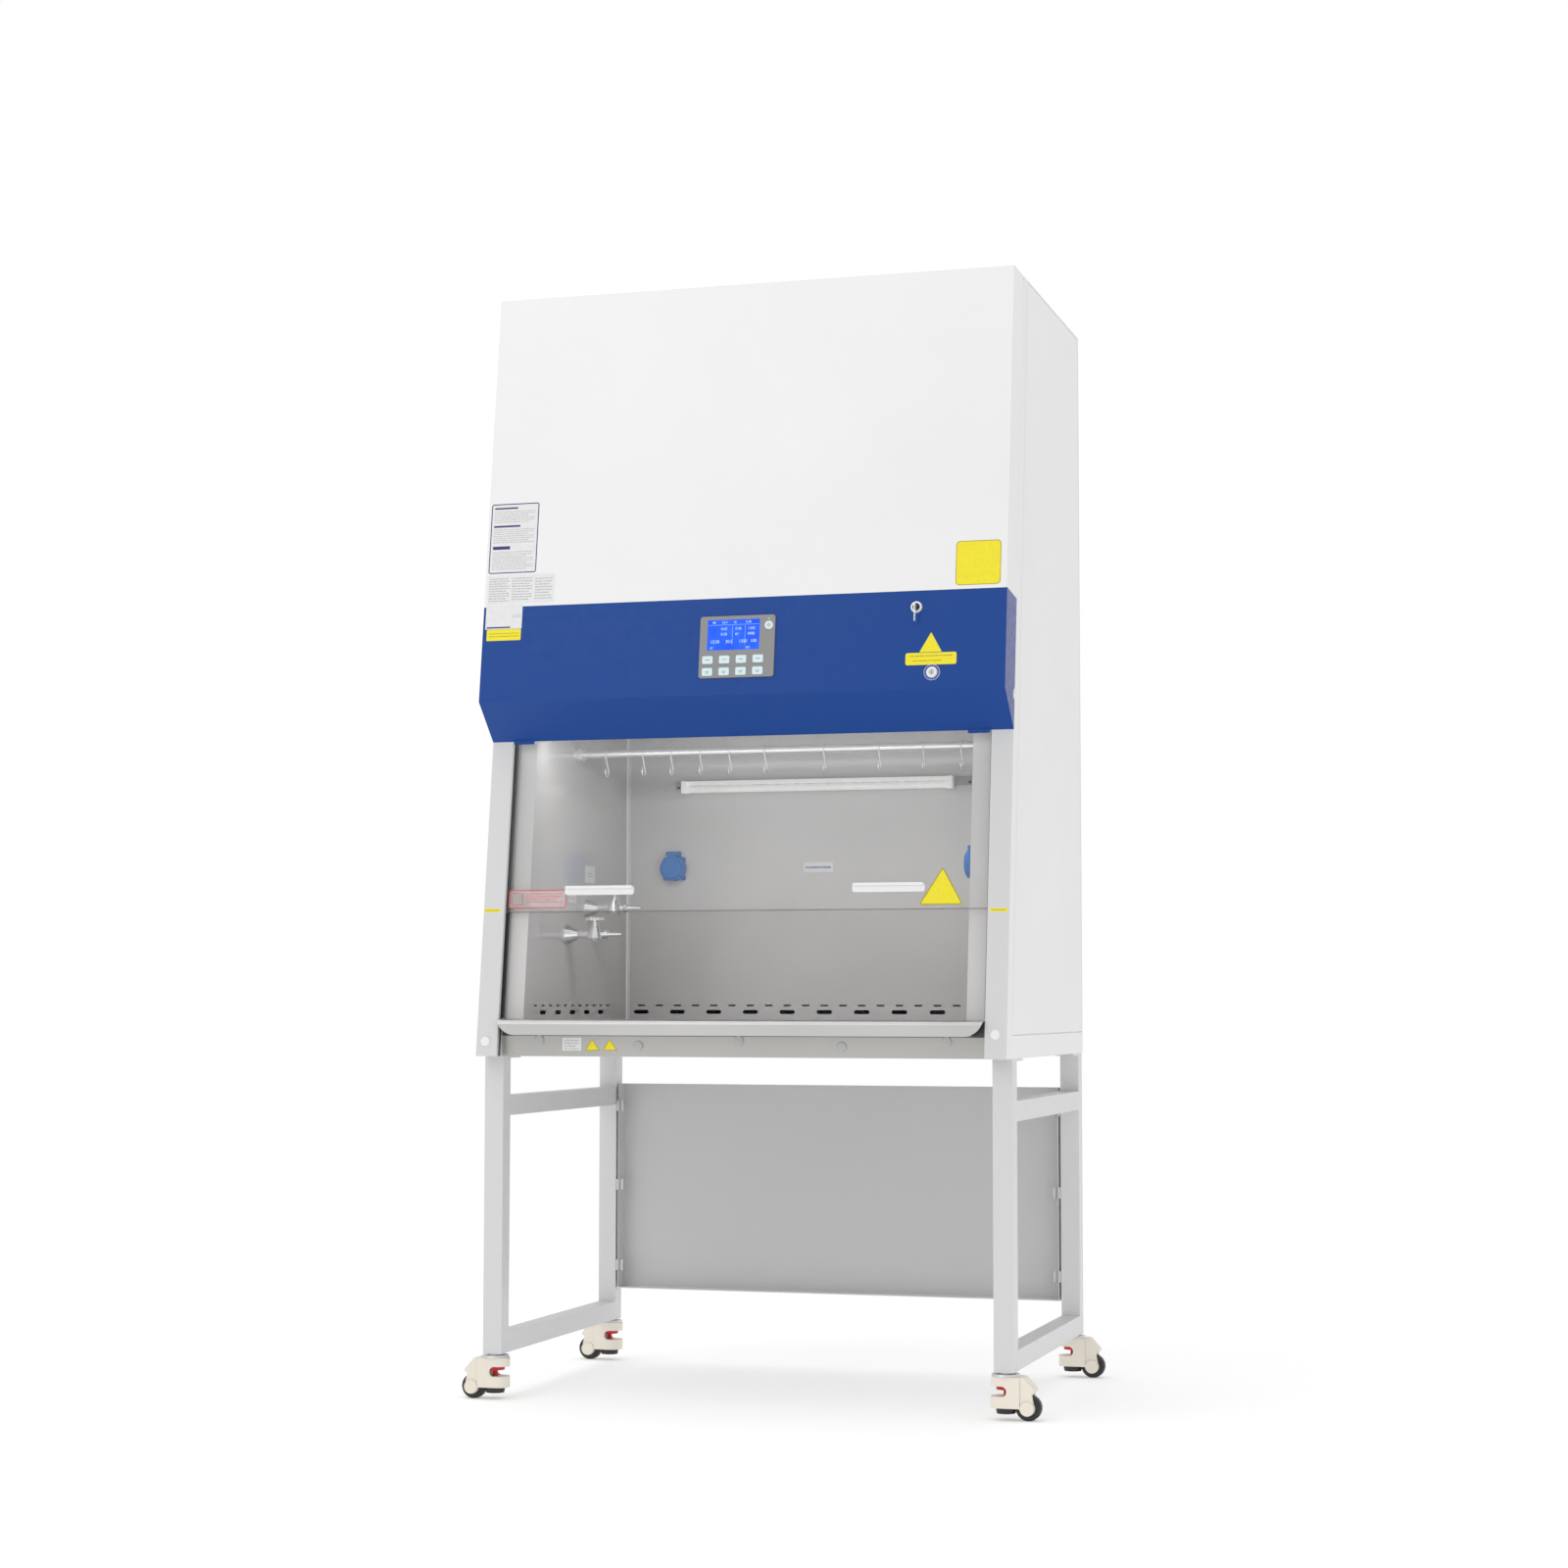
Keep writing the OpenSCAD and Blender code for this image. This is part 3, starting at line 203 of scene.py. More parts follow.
def place_of(tree):
    """The x, y and z of a point of the piece."""
    split = add(tree, "ShaderNodeSeparateXYZ")
    tree.links.new(add(tree, "ShaderNodeTexCoord").outputs["Object"], split.inputs["Vector"])
    return [split.outputs[axis] for axis in "XYZ"]


def calc(tree, operation, a, b=0.0):
    made = add(tree, "ShaderNodeMath", operation=operation)
    for slot, value in enumerate((a, b)):
        if hasattr(value, "is_output"):
            tree.links.new(value, made.inputs[slot])
        else:
            made.inputs[slot].default_value = value
    return made.outputs["Value"]


def over(tree, value, limit):
    return calc(tree, "GREATER_THAN", value, limit)


def under(tree, value, limit):
    return calc(tree, "LESS_THAN", value, limit)


def both(tree, a, b):
    return calc(tree, "MULTIPLY", a, b)


def between(tree, value, low, high):
    return both(tree, over(tree, value, low), under(tree, value, high))


def behind_rake(tree, y, z, start):
    """How far back a point lies from the raked line through start, measured level."""
    lean = calc(tree, "MULTIPLY", calc(tree, "SUBTRACT", z, start[2]), tan(RAKE))
    return calc(tree, "SUBTRACT", calc(tree, "SUBTRACT", y, lean), start[1])


def repaint(tree, ground, top, mask):
    """Lays one paint over another where mask is 1; each is a colour or a node's output."""
    paint = add(tree, "ShaderNodeMix", data_type="RGBA")
    for slot, colour in (("A", ground), ("B", top)):
        if hasattr(colour, "is_output"):
            tree.links.new(colour, paint.inputs[slot])
        else:
            paint.inputs[slot].default_value = (*colour, 1)
    tree.links.new(mask, paint.inputs["Factor"])
    return paint.outputs["Result"]


pillar_coat_and_shade, tree, shader = material("pillar_coat_and_shade")
x, y, z = place_of(tree)
beside = calc(tree, "ABSOLUTE", x)
# Painted shade: a near-black band where the sash channel lies in shadow.
in_channel_shade = between(tree, behind_rake(tree, y, z, FRONT_FOOT), CHANNEL_SHADE_FRONT, CHANNEL_SHADE_BACK)
# Painted shade: the pillar fronts are a darker grey than their white sides.
front_shaded_grey = tint(tree, grain(tree, 2.5, 3), (0.66, 0.66, 0.66), (0.69, 0.69, 0.69))
channel = repaint(tree, front_shaded_grey, (0.85, 0.85, 0.85), over(tree, beside, PILLAR_SIDE))
channel_shade_mask = both(tree, under(tree, beside, CHANNEL_SHADE_REACH), in_channel_shade)
tree.links.new(repaint(tree, channel, (0.05, 0.05, 0.052), channel_shade_mask), shader.inputs["Base Color"])
tree.links.new(spread(tree, grain(tree, 30, 3), 0.40, 0.50), shader.inputs["Roughness"])
relief(tree, shader, grain(tree, 900), 0.6, 0.00006)
finish_node(pillar_coat_and_shade, "pillars")

# Snap caps: moulded plugs over the screw holes, white on the pillars and grey like the sheet
# on the lower panel, with a dark painted shade round the foot of each.
CAP_SPLIT = 0.5
# Behind this depth, a cap's foot takes painted shade.
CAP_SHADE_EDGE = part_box("lower_front_panel")[0].y - 0.001


def two_tone(name, mask, inside, outside, rough=0.4, metal=None, vary=0.05, patch=40):
    """A finish whose colour, and metal where given, differs where mask(tree, x, y, z) is 1."""
    made, tree, shader = material(name)
    here = mask(tree, *place_of(tree))
    ground, top = [tint(tree, grain(tree, patch, 3), [c * (1 - vary) for c in colour], colour)
                   for colour in (outside, inside)]
    tree.links.new(repaint(tree, ground, top, here), shader.inputs["Base Color"])
    tree.links.new(spread(tree, grain(tree, 60), rough - 0.06, rough + 0.06), shader.inputs["Roughness"])
    if metal:
        plating = add(tree, "ShaderNodeMix", data_type="FLOAT")
        plating.inputs["A"].default_value = metal[1]
        plating.inputs["B"].default_value = metal[0]
        tree.links.new(here, plating.inputs["Factor"])
        tree.links.new(plating.outputs["Result"], shader.inputs["Metallic"])
    relief(tree, shader, grain(tree, 500), 0.3, 0.00004)
    return made


def cap_shade(tree, x, y, z):
    """1 on the pillars, about half on the panel's caps and 0 at their foot, which is painted shade."""
    on_pillar = over(tree, calc(tree, "ABSOLUTE", x), CAP_SPLIT)
    proud = calc(tree, "MULTIPLY", under(tree, y, CAP_SHADE_EDGE), 0.53)
    return calc(tree, "MAXIMUM", on_pillar, proud)


cap_resin_and_shade = two_tone("cap_resin_and_shade", cap_shade, (0.88, 0.88, 0.88), (0.06, 0.06, 0.05))
finish_node(cap_resin_and_shade, "hole_caps")

# Stand frames: square steel tube, welded and coated light grey. The plated head plates that
# take the caster stems close the feet of the legs.
HEAD_PLATE_TOP = 0.0919


def head_plates(tree, x, y, z):
    return under(tree, z, HEAD_PLATE_TOP)


frame_coat = two_tone("frame_coat", head_plates, (0.75, 0.75, 0.76), (0.69, 0.69, 0.70), 0.35,
                      metal=(1.0, 0.0), vary=0.02, patch=2.5)
finish_node(frame_coat, "stand_frames")

# Stand back panel: one folded sheet in a mid grey coat; its bottom flange is painted paler, as
# painted light. It hangs on the rear legs by six small tabs, with painted shade at their bends and tips.
panel_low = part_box("stand_back_panel")[0]
FLANGE_TOP = panel_low.z + 0.0025
TAB_BACK = panel_low.y + 0.0023
TAB_MIDDLE = 0.5005
TAB_PALE_OFF = 0.0055
TAB_PALE_HALF = 0.0028


def back_shade(tree, x, y, z):
    """1 on the bottom flange, which is painted light, half on the sheet, and 0 at the tabs' bends and tips,
    which are painted shade.
    """
    flange = under(tree, z, FLANGE_TOP)
    forward = under(tree, y, TAB_BACK)
    off_middle = calc(tree, "ABSOLUTE", calc(tree, "SUBTRACT", calc(tree, "ABSOLUTE", x), TAB_MIDDLE))
    off_pale = calc(tree, "ABSOLUTE", calc(tree, "SUBTRACT", off_middle, TAB_PALE_OFF))
    shaded = both(tree, forward, over(tree, off_pale, TAB_PALE_HALF))
    plain = calc(tree, "SUBTRACT", 0.5, calc(tree, "MULTIPLY", shaded, 0.5))
    return calc(tree, "MAXIMUM", flange, plain)


back_coat_and_shade = two_tone("back_coat_and_shade", back_shade, (0.86, 0.86, 0.86), (0.34, 0.34, 0.34), 0.45,
                     vary=0.015, patch=2.5)
finish_node(back_coat_and_shade, "stand_back_panel")

# Chamber lining: stainless sheet, rolled bright and finely brushed, so that it mirrors the
# fittings softly. A near-white painted highlight runs down the middle of each coved rear corner.
WALL_X = 0.462
WALL_Y = 0.2705
COVE_REACH = 0.03
HIGHLIGHT_HALF = 0.0022


def stainless(name, colour, rough, stretch, depth, metal=0.8, gloss=0.0, mark=None, mark_colour=None):
    """Brushed sheet; it takes another colour where mark(tree, x, y, z) is 1."""
    made, tree, shader = material(name)
    dark = [c * 0.94 for c in colour]
    light = [min(1, c * 1.04) for c in colour]
    sheet = tint(tree, grain(tree, 3, 4), dark, light)
    if mark:
        sheet = repaint(tree, sheet, mark_colour, mark(tree, *place_of(tree)))
    tree.links.new(sheet, shader.inputs["Base Color"])
    brushing = grain(tree, 60, 4, stretch)
    tree.links.new(spread(tree, brushing, rough - 0.05, rough + 0.06), shader.inputs["Roughness"])
    relief(tree, shader, brushing, 0.5, depth)
    shader.inputs["Metallic"].default_value = metal
    shader.inputs["Coat Weight"].default_value = gloss
    shader.inputs["Coat Roughness"].default_value = 0.07
    return made


def corner_highlight(tree, x, y, z):
    """1 along the middle of the two coved rear corners, where a highlight is painted."""
    inwards = calc(tree, "SUBTRACT", WALL_X, calc(tree, "ABSOLUTE", x))
    forwards = calc(tree, "SUBTRACT", WALL_Y, y)
    on_bend = under(tree, calc(tree, "ABSOLUTE", calc(tree, "SUBTRACT", inwards, forwards)), HIGHLIGHT_HALF)
    return both(tree, on_bend, under(tree, calc(tree, "ADD", inwards, forwards), COVE_REACH))


# The coved corners take a near-white painted highlight.
bright_sheet_and_highlight = stainless("bright_sheet_and_highlight", (0.64, 0.625, 0.62), 0.42, (0.3, 0.3, 12), 0.000002, 0.12, 0.9,
                         corner_highlight, (0.98, 0.98, 0.98))
finish_node(bright_sheet_and_highlight, "chamber_liner")

# Armrest, tray and the sheet parts round the air path: stainless sheet with a satin brushed
# face. They are folded, and the tray lifts out.
satin_sheet = stainless("satin_sheet", (0.60, 0.595, 0.585), 0.34, (0.3, 12, 12), 0.00002)
finish_node(satin_sheet, "armrest", "work_tray", "base_pan", "diffuser", "exhaust_grille", "plenum")

# Lower front panel: a duller stainless plate under the armrest, with a dark band of painted
# shadow where the two meet.
# Above this height the panel is painted near-black, as painted shadow under the armrest.
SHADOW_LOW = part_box("armrest")[0].z - 0.0018


def armrest_shadow(tree, x, y, z):
    return over(tree, z, SHADOW_LOW)


plate_sheet_and_shadow = stainless("plate_sheet_and_shadow", (0.50, 0.495, 0.475), 0.38, (0.3, 12, 12), 0.00002,
                        mark=armrest_shadow, mark_colour=(0.10, 0.10, 0.10))
finish_node(plate_sheet_and_shadow, "lower_front_panel")

# Fascia: a folded sheet in a satin deep blue coat, hinged with the hood. Its end faces look
# out past the pillars and are painted a paler blue, as a painted reflection of the white surroundings.


def fascia_end_sheen(tree, x, y, z):
    return over(tree, calc(tree, "ABSOLUTE", x), PILLAR_SIDE)


# Painted reflection: the end faces take a paler blue.
blue_coat_and_sheen = two_tone("blue_coat_and_sheen", fascia_end_sheen, (0.085, 0.115, 0.32), (0.004, 0.056, 0.285), 0.36,
                     vary=0.04, patch=2.5)
blue_coat_and_sheen.node_tree.nodes["Principled BSDF"].inputs["Specular IOR Level"].default_value = 0.28
finish_node(blue_coat_and_sheen, "fascia")

# Operating panel: a grey plate with a printed film, screwed on the fascia. Eight raised pale
# keys and a round power key are moulded in one resin.
plate_film = coated("plate_film", (0.27, 0.27, 0.27), 0.5, vary=0.03, edge=0.0005)
finish_node(plate_film, "control_plate")
key_resin = coated("key_resin", (0.70, 0.84, 0.86), 0.4, vary=0.02, edge=0.0006)
finish_node(key_resin, *[f"key_{number}" for number in range(1, 9)], "power_key")

# Display: a lit blue screen behind the plate's window. The numbers on it glow pale blue and
# are raised about a tenth of a millimetre, with one rule across and two down.
lcd, tree, shader = material("lcd")
for slot in ("Base Color", "Emission Color"):
    screen_blue = tint(tree, grain(tree, 25), (0.008, 0.05, 0.80), (0.02, 0.09, 0.95))
    tree.links.new(screen_blue, shader.inputs[slot])
shader.inputs["Emission Strength"].default_value = 0.9
shader.inputs["Roughness"].default_value = 0.5
shader.inputs["Specular IOR Level"].default_value = 0.1
finish_node(lcd, "display")

SLOPE = Matrix.Translation(FRONT_FOOT) @ Matrix.Rotation(-RAKE, 4, "X")
HOOD_OUT = 0.09
HOOD_FRONT = -HOOD_OUT * cos(RAKE)
SCREEN_PROUD = 0.00235
PRINT_THICK = 0.00012


def up_pillars(height):
    """How far up the rake a height above the floor lies, on the faces of the pillars."""
    return (height - FRONT_FOOT.z) / cos(RAKE)


def up_hood(height):
    """The same on the hood's face, which stands in front of the pillars."""
    return up_pillars(height) - HOOD_OUT * sin(RAKE)


def oblong(left, right, low, high):
    return ((right, high), (left, high), (left, low), (right, low))


def thicken(shape, thickness):
    """Draws all the faces of a flat shape forwards, and gives the parts that moved."""
    raised = bmesh.ops.extrude_face_region(shape, geom=shape.faces[:])["geom"]
    moved = [part for part in raised if isinstance(part, bmesh.types.BMVert)]
    bmesh.ops.translate(shape, verts=moved, vec=(0, -thickness, 0))
    return raised


def film(shape, corners, thickness, rounding=0.0, lift=0.0, border=0.0, paint=0):
    """A thin plate facing forwards; a border takes the finish after the plate's own."""
    flat = bmesh.new()
    outline = bmesh.ops.create_circle(flat, cap_ends=True, segments=len(corners), radius=1)["verts"]
    for vert, (across, up) in zip(outline, corners):
        vert.co = (across, -lift, up)
    if rounding:
        bmesh.ops.bevel(flat, geom=flat.verts[:], offset=rounding, affect="VERTICES", segments=4,
                        profile=0.5, material=-1)
    raised = thicken(flat, thickness)
    for side in flat.faces:
        side.material_index = paint
    if border:
        front = [part for part in raised if isinstance(part, bmesh.types.BMFace)]
        for side in bmesh.ops.inset_region(flat, faces=front, thickness=border)["faces"]:
            side.material_index = paint + 1
    data = bpy.data.meshes.new("film")
    flat.to_mesh(data)
    flat.free()
    shape.from_mesh(data)
    bpy.data.meshes.remove(data)


def piece(name, shape, finishes, body, smooth=False):
    data = bpy.data.meshes.new(name)
    bmesh.ops.recalc_face_normals(shape, faces=shape.faces)
    shape.to_mesh(data)
    shape.free()
    if smooth:
        data.shade_smooth()
    for finish in finishes:
        data.materials.append(finish)
    item = bpy.data.objects.new(name, data)
    bpy.context.scene.collection.objects.link(item)
    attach(item, body)


def ink(name, colour, rough=0.5, glow=0.0):
    made, tree, shader = material(name)
    dark = [c * 0.93 for c in colour]
    tree.links.new(tint(tree, grain(tree, 120, 3), dark, colour), shader.inputs["Base Color"])
    tree.links.new(spread(tree, grain(tree, 60), rough - 0.05, rough + 0.05), shader.inputs["Roughness"])
    if glow:
        shader.inputs["Emission Color"].default_value = (*colour, 1)
        shader.inputs["Emission Strength"].default_value = glow
    return made


digits = bmesh.new()
for height, tall, readings in (
        (1.565, 0.005, (("88", -0.052), ("25.4", -0.032), ("50", -0.008), ("0.38", 0.018))),
        (1.552, 0.006, (("0.42", -0.034), ("0.36", -0.004), ("1250", 0.022))),
        (1.541, 0.006, (("0.30", -0.034), ("61", -0.004), ("0980", 0.022))),
        (1.526, 0.007, (("12:30", -0.056), ("20.5", -0.024), ("1350", 0.004), ("100", 0.028))),
        (1.513, 0.005, (("07", -0.056), ("365", 0.018)))):
    for text, left in readings:
        curve = bpy.data.curves.new("digits", "FONT")
        curve.body = text
        curve.size = tall * 1.25
        holder = bpy.data.objects.new("digits", curve)
        flat = bpy.data.meshes.new_from_object(holder)
        flat.transform(Matrix.Translation((left, 0, up_hood(height) - tall / 2))
                       @ Matrix.Rotation(pi / 2, 4, "X"))
        digits.from_mesh(flat)
        bpy.data.objects.remove(holder)
        bpy.data.curves.remove(curve)
        bpy.data.meshes.remove(flat)
bmesh.ops.remove_doubles(digits, verts=digits.verts, dist=0.000001)
thicken(digits, PRINT_THICK)
film(digits, oblong(-0.060, 0.045, up_hood(1.5592), up_hood(1.5596)), PRINT_THICK)
for rule in (-0.010, 0.0165):
    film(digits, oblong(rule - 0.0002, rule + 0.0002, up_hood(1.5175), up_hood(1.5575)), PRINT_THICK)
digits.transform(SLOPE @ Matrix.Translation((0, HOOD_FRONT - SCREEN_PROUD, 0)))
piece("display_digits", digits, [ink("lcd_print", (0.42, 0.58, 1.0), glow=0.6)], "hood")

# Key legends: plain printed marks in place of signs, a bar on each key and a dash under it in
# the lower row. A pale round mark sits on the power key.
KEY_PROUD = 0.00439
KEY_INK_THICK = 0.0001
KEY_ROWS = (1.4883, 1.464)
KEY_COLUMNS = (-0.0597, -0.0245, 0.0106, 0.0458)

key_ink = ink("key_ink", (0.06, 0.22, 0.42))
for row, height in enumerate(KEY_ROWS):
    for column, centre in enumerate(KEY_COLUMNS):
        mark = bmesh.new()
        up = up_hood(height)
        film(mark, oblong(centre - 0.0045, centre + 0.0045, up - 0.0006, up + 0.0006), KEY_INK_THICK)
        if row:
            film(mark, oblong(centre - 0.0025, centre + 0.0025, up - 0.0036, up - 0.0024), KEY_INK_THICK)
        mark.transform(SLOPE @ Matrix.Translation((0, HOOD_FRONT - KEY_PROUD, 0)))
        number = row * len(KEY_COLUMNS) + column + 1
        piece(f"key_mark_{number}", mark, [key_ink], f"key_{number}_body")

power_mark = bmesh.new()
bmesh.ops.create_cone(power_mark, cap_ends=True, segments=32, radius1=0.0042, radius2=0.0042, depth=0.0002)
power_mark.transform(SLOPE @ Matrix.Translation((0.0662, HOOD_FRONT - 0.00441, up_hood(1.556)))
                     @ Matrix.Rotation(pi / 2, 4, "X"))
piece("power_mark", power_mark, [ink("power_ink", (0.60, 0.55, 0.55))], "power_key_body")

# Power lamp: a small green glass bead set in the plate over the power key. It is half as
# deep as it is wide.
bead = bmesh.new()
bmesh.ops.create_uvsphere(bead, u_segments=20, v_segments=10, radius=0.0016)
bead.transform(SLOPE @ Matrix.Translation((0.0661, HOOD_FRONT - 0.0031, up_hood(1.5693)))
               @ Matrix.Diagonal((1, 0.5, 1, 1)))
piece("power_lamp", bead, [ink("lamp_green", (0.1, 0.7, 0.2), 0.2, 0.6)], "hood", True)

# Hanger rod and its hooks: a chromed steel rod across the chamber, held by a flanged socket
# at each wall, with ten bent wire hooks. The plating is bright and slightly pitted.


def plated(name, colour, rough, metal=1.0):
    made, tree, shader = material(name)
    dark = [c * 0.95 for c in colour]
    tree.links.new(tint(tree, grain(tree, 40, 3), dark, colour), shader.inputs["Base Color"])
    polish = spread(tree, grain(tree, 80, 4), max(0.02, rough - 0.04), rough + 0.06)
    tree.links.new(polish, shader.inputs["Roughness"])
    relief(tree, shader, grain(tree, 300), 0.2, 0.00003)
    shader.inputs["Metallic"].default_value = metal
    return made


chrome = plated("chrome", (0.95, 0.95, 0.96), 0.12, 0.75)
finish_node(chrome, "hanger_rail", "hooks")

# Gas taps: two bodies on the left wall of the chamber with their turned knobs, all with a
# bright chrome plate.
tap_plating = plated("frosted_chrome", (0.93, 0.925, 0.93), 0.12, 0.85)
finish_node(tap_plating, "tap_bodies", "tap_knob_upper", "tap_knob_lower")

# Locks on the fascia: the barrels of the key switch and of the cam lock are turned and pale
# plated, with a blue groove round the cam lock, whose turning core is grey steel.
CAM_AT = SLOPE @ Vector((0.4029, HOOD_FRONT, up_hood(FRONT_FOOT.z + 0.7547)))
GROOVE_INSIDE = 0.0112
GROOVE_OUTSIDE = 0.0153


def distance(tree, a, b):
    return calc(tree, "SQRT", calc(tree, "ADD", both(tree, a, a), both(tree, b, b)))


def up_rake(tree, y, z, start):
    """How far up the rake a point lies from start."""
    rise = calc(tree, "MULTIPLY", calc(tree, "SUBTRACT", z, start[2]), cos(RAKE))
    return calc(tree, "ADD", rise, calc(tree, "MULTIPLY", calc(tree, "SUBTRACT", y, start[1]), sin(RAKE)))


def groove(tree, x, y, z):
    off_axis = distance(tree, up_rake(tree, y, z, CAM_AT), calc(tree, "SUBTRACT", x, CAM_AT[0]))
    disc = under(tree, off_axis, GROOVE_OUTSIDE)
    return calc(tree, "SUBTRACT", disc, under(tree, off_axis, GROOVE_INSIDE))


barrel_finish = two_tone("barrel_finish", groove, (0.03, 0.10, 0.36), (0.86, 0.86, 0.87), 0.3,
                         metal=(0.0, 0.4))
finish_node(barrel_finish, "lock_barrels")
core_steel = plated("core_finish", (0.55, 0.55, 0.56), 0.3)
finish_node(core_steel, "lock_core")

# Switch key: the turning plug of the key switch has a black face, and the pale plated key
# that is in it carries its spare through the bow.
SWITCH_AT = SLOPE @ Vector((0.3682, HOOD_FRONT, up_hood(FRONT_FOOT.z + 0.8866)))
FACE_PROUD = 0.0052


def switch_face(tree, x, y, z):
    return over(tree, behind_rake(tree, y, z, SWITCH_AT), -FACE_PROUD)


key_finish = two_tone("key_plate", switch_face, (0.02, 0.02, 0.02), (0.90, 0.90, 0.90), 0.25,
                      metal=(0.2, 0.5))
finish_node(key_finish, "switch_key")

# Lamps: white moulded holders and milky tubes. The work light under the hood is lit, and the
# germicidal lamp sits on a stainless plate held to the back wall by four black screws. Its tube
# is off, but it is given a faint painted glow.
TUBE_Y = -0.3267
TUBE_Z = 1.3800
TUBE_RADIUS = 0.0075
TUBE_HALF = 0.497
TUBE_GLOW = 3.0
PAINTED_TUBE_GLOW = 0.22
HEAD_FRONT = 0.2642
HEAD_LOW = 1.2797
HEAD_HIGH = 1.2863
PLATE_FRONT = 0.2664
HOLDER_X = 0.3035
HOLDER_HALF = 0.0213

lamp_white, tree, shader = material("lamp_white")
x, y, z = place_of(tree)
beside = calc(tree, "ABSOLUTE", x)
off_tube = distance(tree, calc(tree, "SUBTRACT", z, TUBE_Z), calc(tree, "SUBTRACT", y, TUBE_Y))
lit_tube = both(tree, under(tree, off_tube, TUBE_RADIUS), under(tree, beside, TUBE_HALF))
# Painted glow: the germicidal tube is off but glows faintly.
glowing_unlit_tube = both(tree, between(tree, z, 1.26, 1.33), under(tree, y, HEAD_FRONT))
plate = both(tree, over(tree, y, PLATE_FRONT), between(tree, z, 1.2, 1.33))
screw_row = both(tree, between(tree, y, HEAD_FRONT, PLATE_FRONT), between(tree, z, HEAD_LOW, HEAD_HIGH))
off_holder = calc(tree, "ABSOLUTE", calc(tree, "SUBTRACT", beside, HOLDER_X))
screw_heads = both(tree, screw_row, over(tree, off_holder, HOLDER_HALF))
moulded = tint(tree, grain(tree, 20), (0.92, 0.92, 0.91), (0.97, 0.97, 0.96))
backed = repaint(tree, moulded, (0.42, 0.41, 0.40), plate)
tree.links.new(repaint(tree, backed, (0.02, 0.02, 0.02), screw_heads), shader.inputs["Base Color"])
tree.links.new(spread(tree, grain(tree, 60), 0.22, 0.34), shader.inputs["Roughness"])
shader.inputs["Emission Color"].default_value = (1, 0.99, 0.97, 1)
glow = calc(tree, "ADD", calc(tree, "MULTIPLY", lit_tube, TUBE_GLOW),
            calc(tree, "MULTIPLY", glowing_unlit_tube, PAINTED_TUBE_GLOW))
tree.links.new(glow, shader.inputs["Emission Strength"])
finish_node(lamp_white, "lamps")
work_light = soft_lamp("work_light", (0, -0.27, 1.36), (0, -0.05, 0.9), 0.85, 1.35, 0.06)
work_light.visible_glossy = False

# Socket outlets: blue moulded plastic, a base screwed to the wall with a round lid hinged
# over it.
socket_resin = coated("socket_resin", (0.018, 0.19, 0.60), 0.42, vary=0.05, edge=0.0008, gleam=0.3)
finish_node(socket_resin, "socket_bases", "socket_lid_back", "socket_lid_side")

# Sash: one pane of clear toughened glass, faintly green, whose ground lower edge shows dark.
# Two white moulded pull handles stand on its face.
GROUND_EDGE = 0.2980

pane, tree, shader = material("pane")
x, y, z = place_of(tree)
ground_edge = under(tree, up_rake(tree, y, z, FRONT_FOOT), GROUND_EDGE)
facing = add(tree, "ShaderNodeLayerWeight", Blend=0.35)
clear = calc(tree, "ADD", calc(tree, "MULTIPLY", facing.outputs["Fresnel"], 0.30), 0.04)
opaque = calc(tree, "MAXIMUM", clear, calc(tree, "MULTIPLY", ground_edge, 0.55))
tree.links.new(opaque, shader.inputs["Alpha"])
glass_green = tint(tree, grain(tree, 4), (0.82, 0.86, 0.85), (0.88, 0.91, 0.90))
tree.links.new(repaint(tree, glass_green, (0.20, 0.17, 0.165), ground_edge), shader.inputs["Base Color"])
shader.inputs["Roughness"].default_value = 0.03
shader.inputs["Specular IOR Level"].default_value = 0.5
finish_node(pane, "sash_glass")
handle_resin = coated("handle_resin", (0.88, 0.88, 0.88), 0.35, edge=0.0015)
finish_node(handle_resin, "sash_handles")

# Sash balance and air system, inside the body: cast counterweights, a steel cross shaft,
# pleated paper filters, and a motor in a dark coat with its bare metal fan wheel.
cast_iron = coated("cast_iron", (0.05, 0.05, 0.05), 0.7, vary=0.2, peel=300, depth=0.0003)
finish_node(cast_iron, "counterweights")
shaft_steel = plated("dark_steel", (0.30, 0.30, 0.31), 0.25)
finish_node(shaft_steel, "sash_shaft")
filter_paper = coated("filter_paper", (0.80, 0.80, 0.75), 0.85, vary=0.05, peel=200, depth=0.0003)
finish_node(filter_paper, "filters")
motor_coat = coated("motor_coat", (0.09, 0.10, 0.11), 0.5, vary=0.1, peel=400, depth=0.0002)
finish_node(motor_coat, "blower")
fan_metal = plated("fan_metal", (0.70, 0.71, 0.72), 0.35)
finish_node(fan_metal, "impeller")

# Levelling casters: cream moulded housings on steel stems, with black wheels. A black foot
# pad under each housing is wound down by the red thumbwheel above it.
PAD_TOP = 0.0242
CASTERS = range(1, 5)

cream_nylon = coated("cream_nylon", (0.86, 0.80, 0.70), 0.40, vary=0.03, peel=500, edge=0.002)
finish_node(cream_nylon, *[f"caster_housing_{number}" for number in CASTERS])
black_tread = coated("black_tread", (0.018, 0.018, 0.019), 0.45, vary=0.15, peel=500, edge=0.0015)
finish_node(black_tread, *[f"caster_wheel_{number}" for number in CASTERS])
foot_resin, tree, shader = material("foot_resin")
x, y, z = place_of(tree)
thumbwheel_red = tint(tree, grain(tree, 60), (0.50, 0.012, 0.018), (0.60, 0.018, 0.026))
pad_and_wheel = repaint(tree, (0.02, 0.02, 0.02), thumbwheel_red, over(tree, z, PAD_TOP))
tree.links.new(pad_and_wheel, shader.inputs["Base Color"])
tree.links.new(spread(tree, grain(tree, 90), 0.35, 0.5), shader.inputs["Roughness"])
finish_node(foot_resin, *[f"caster_foot_{number}" for number in CASTERS])

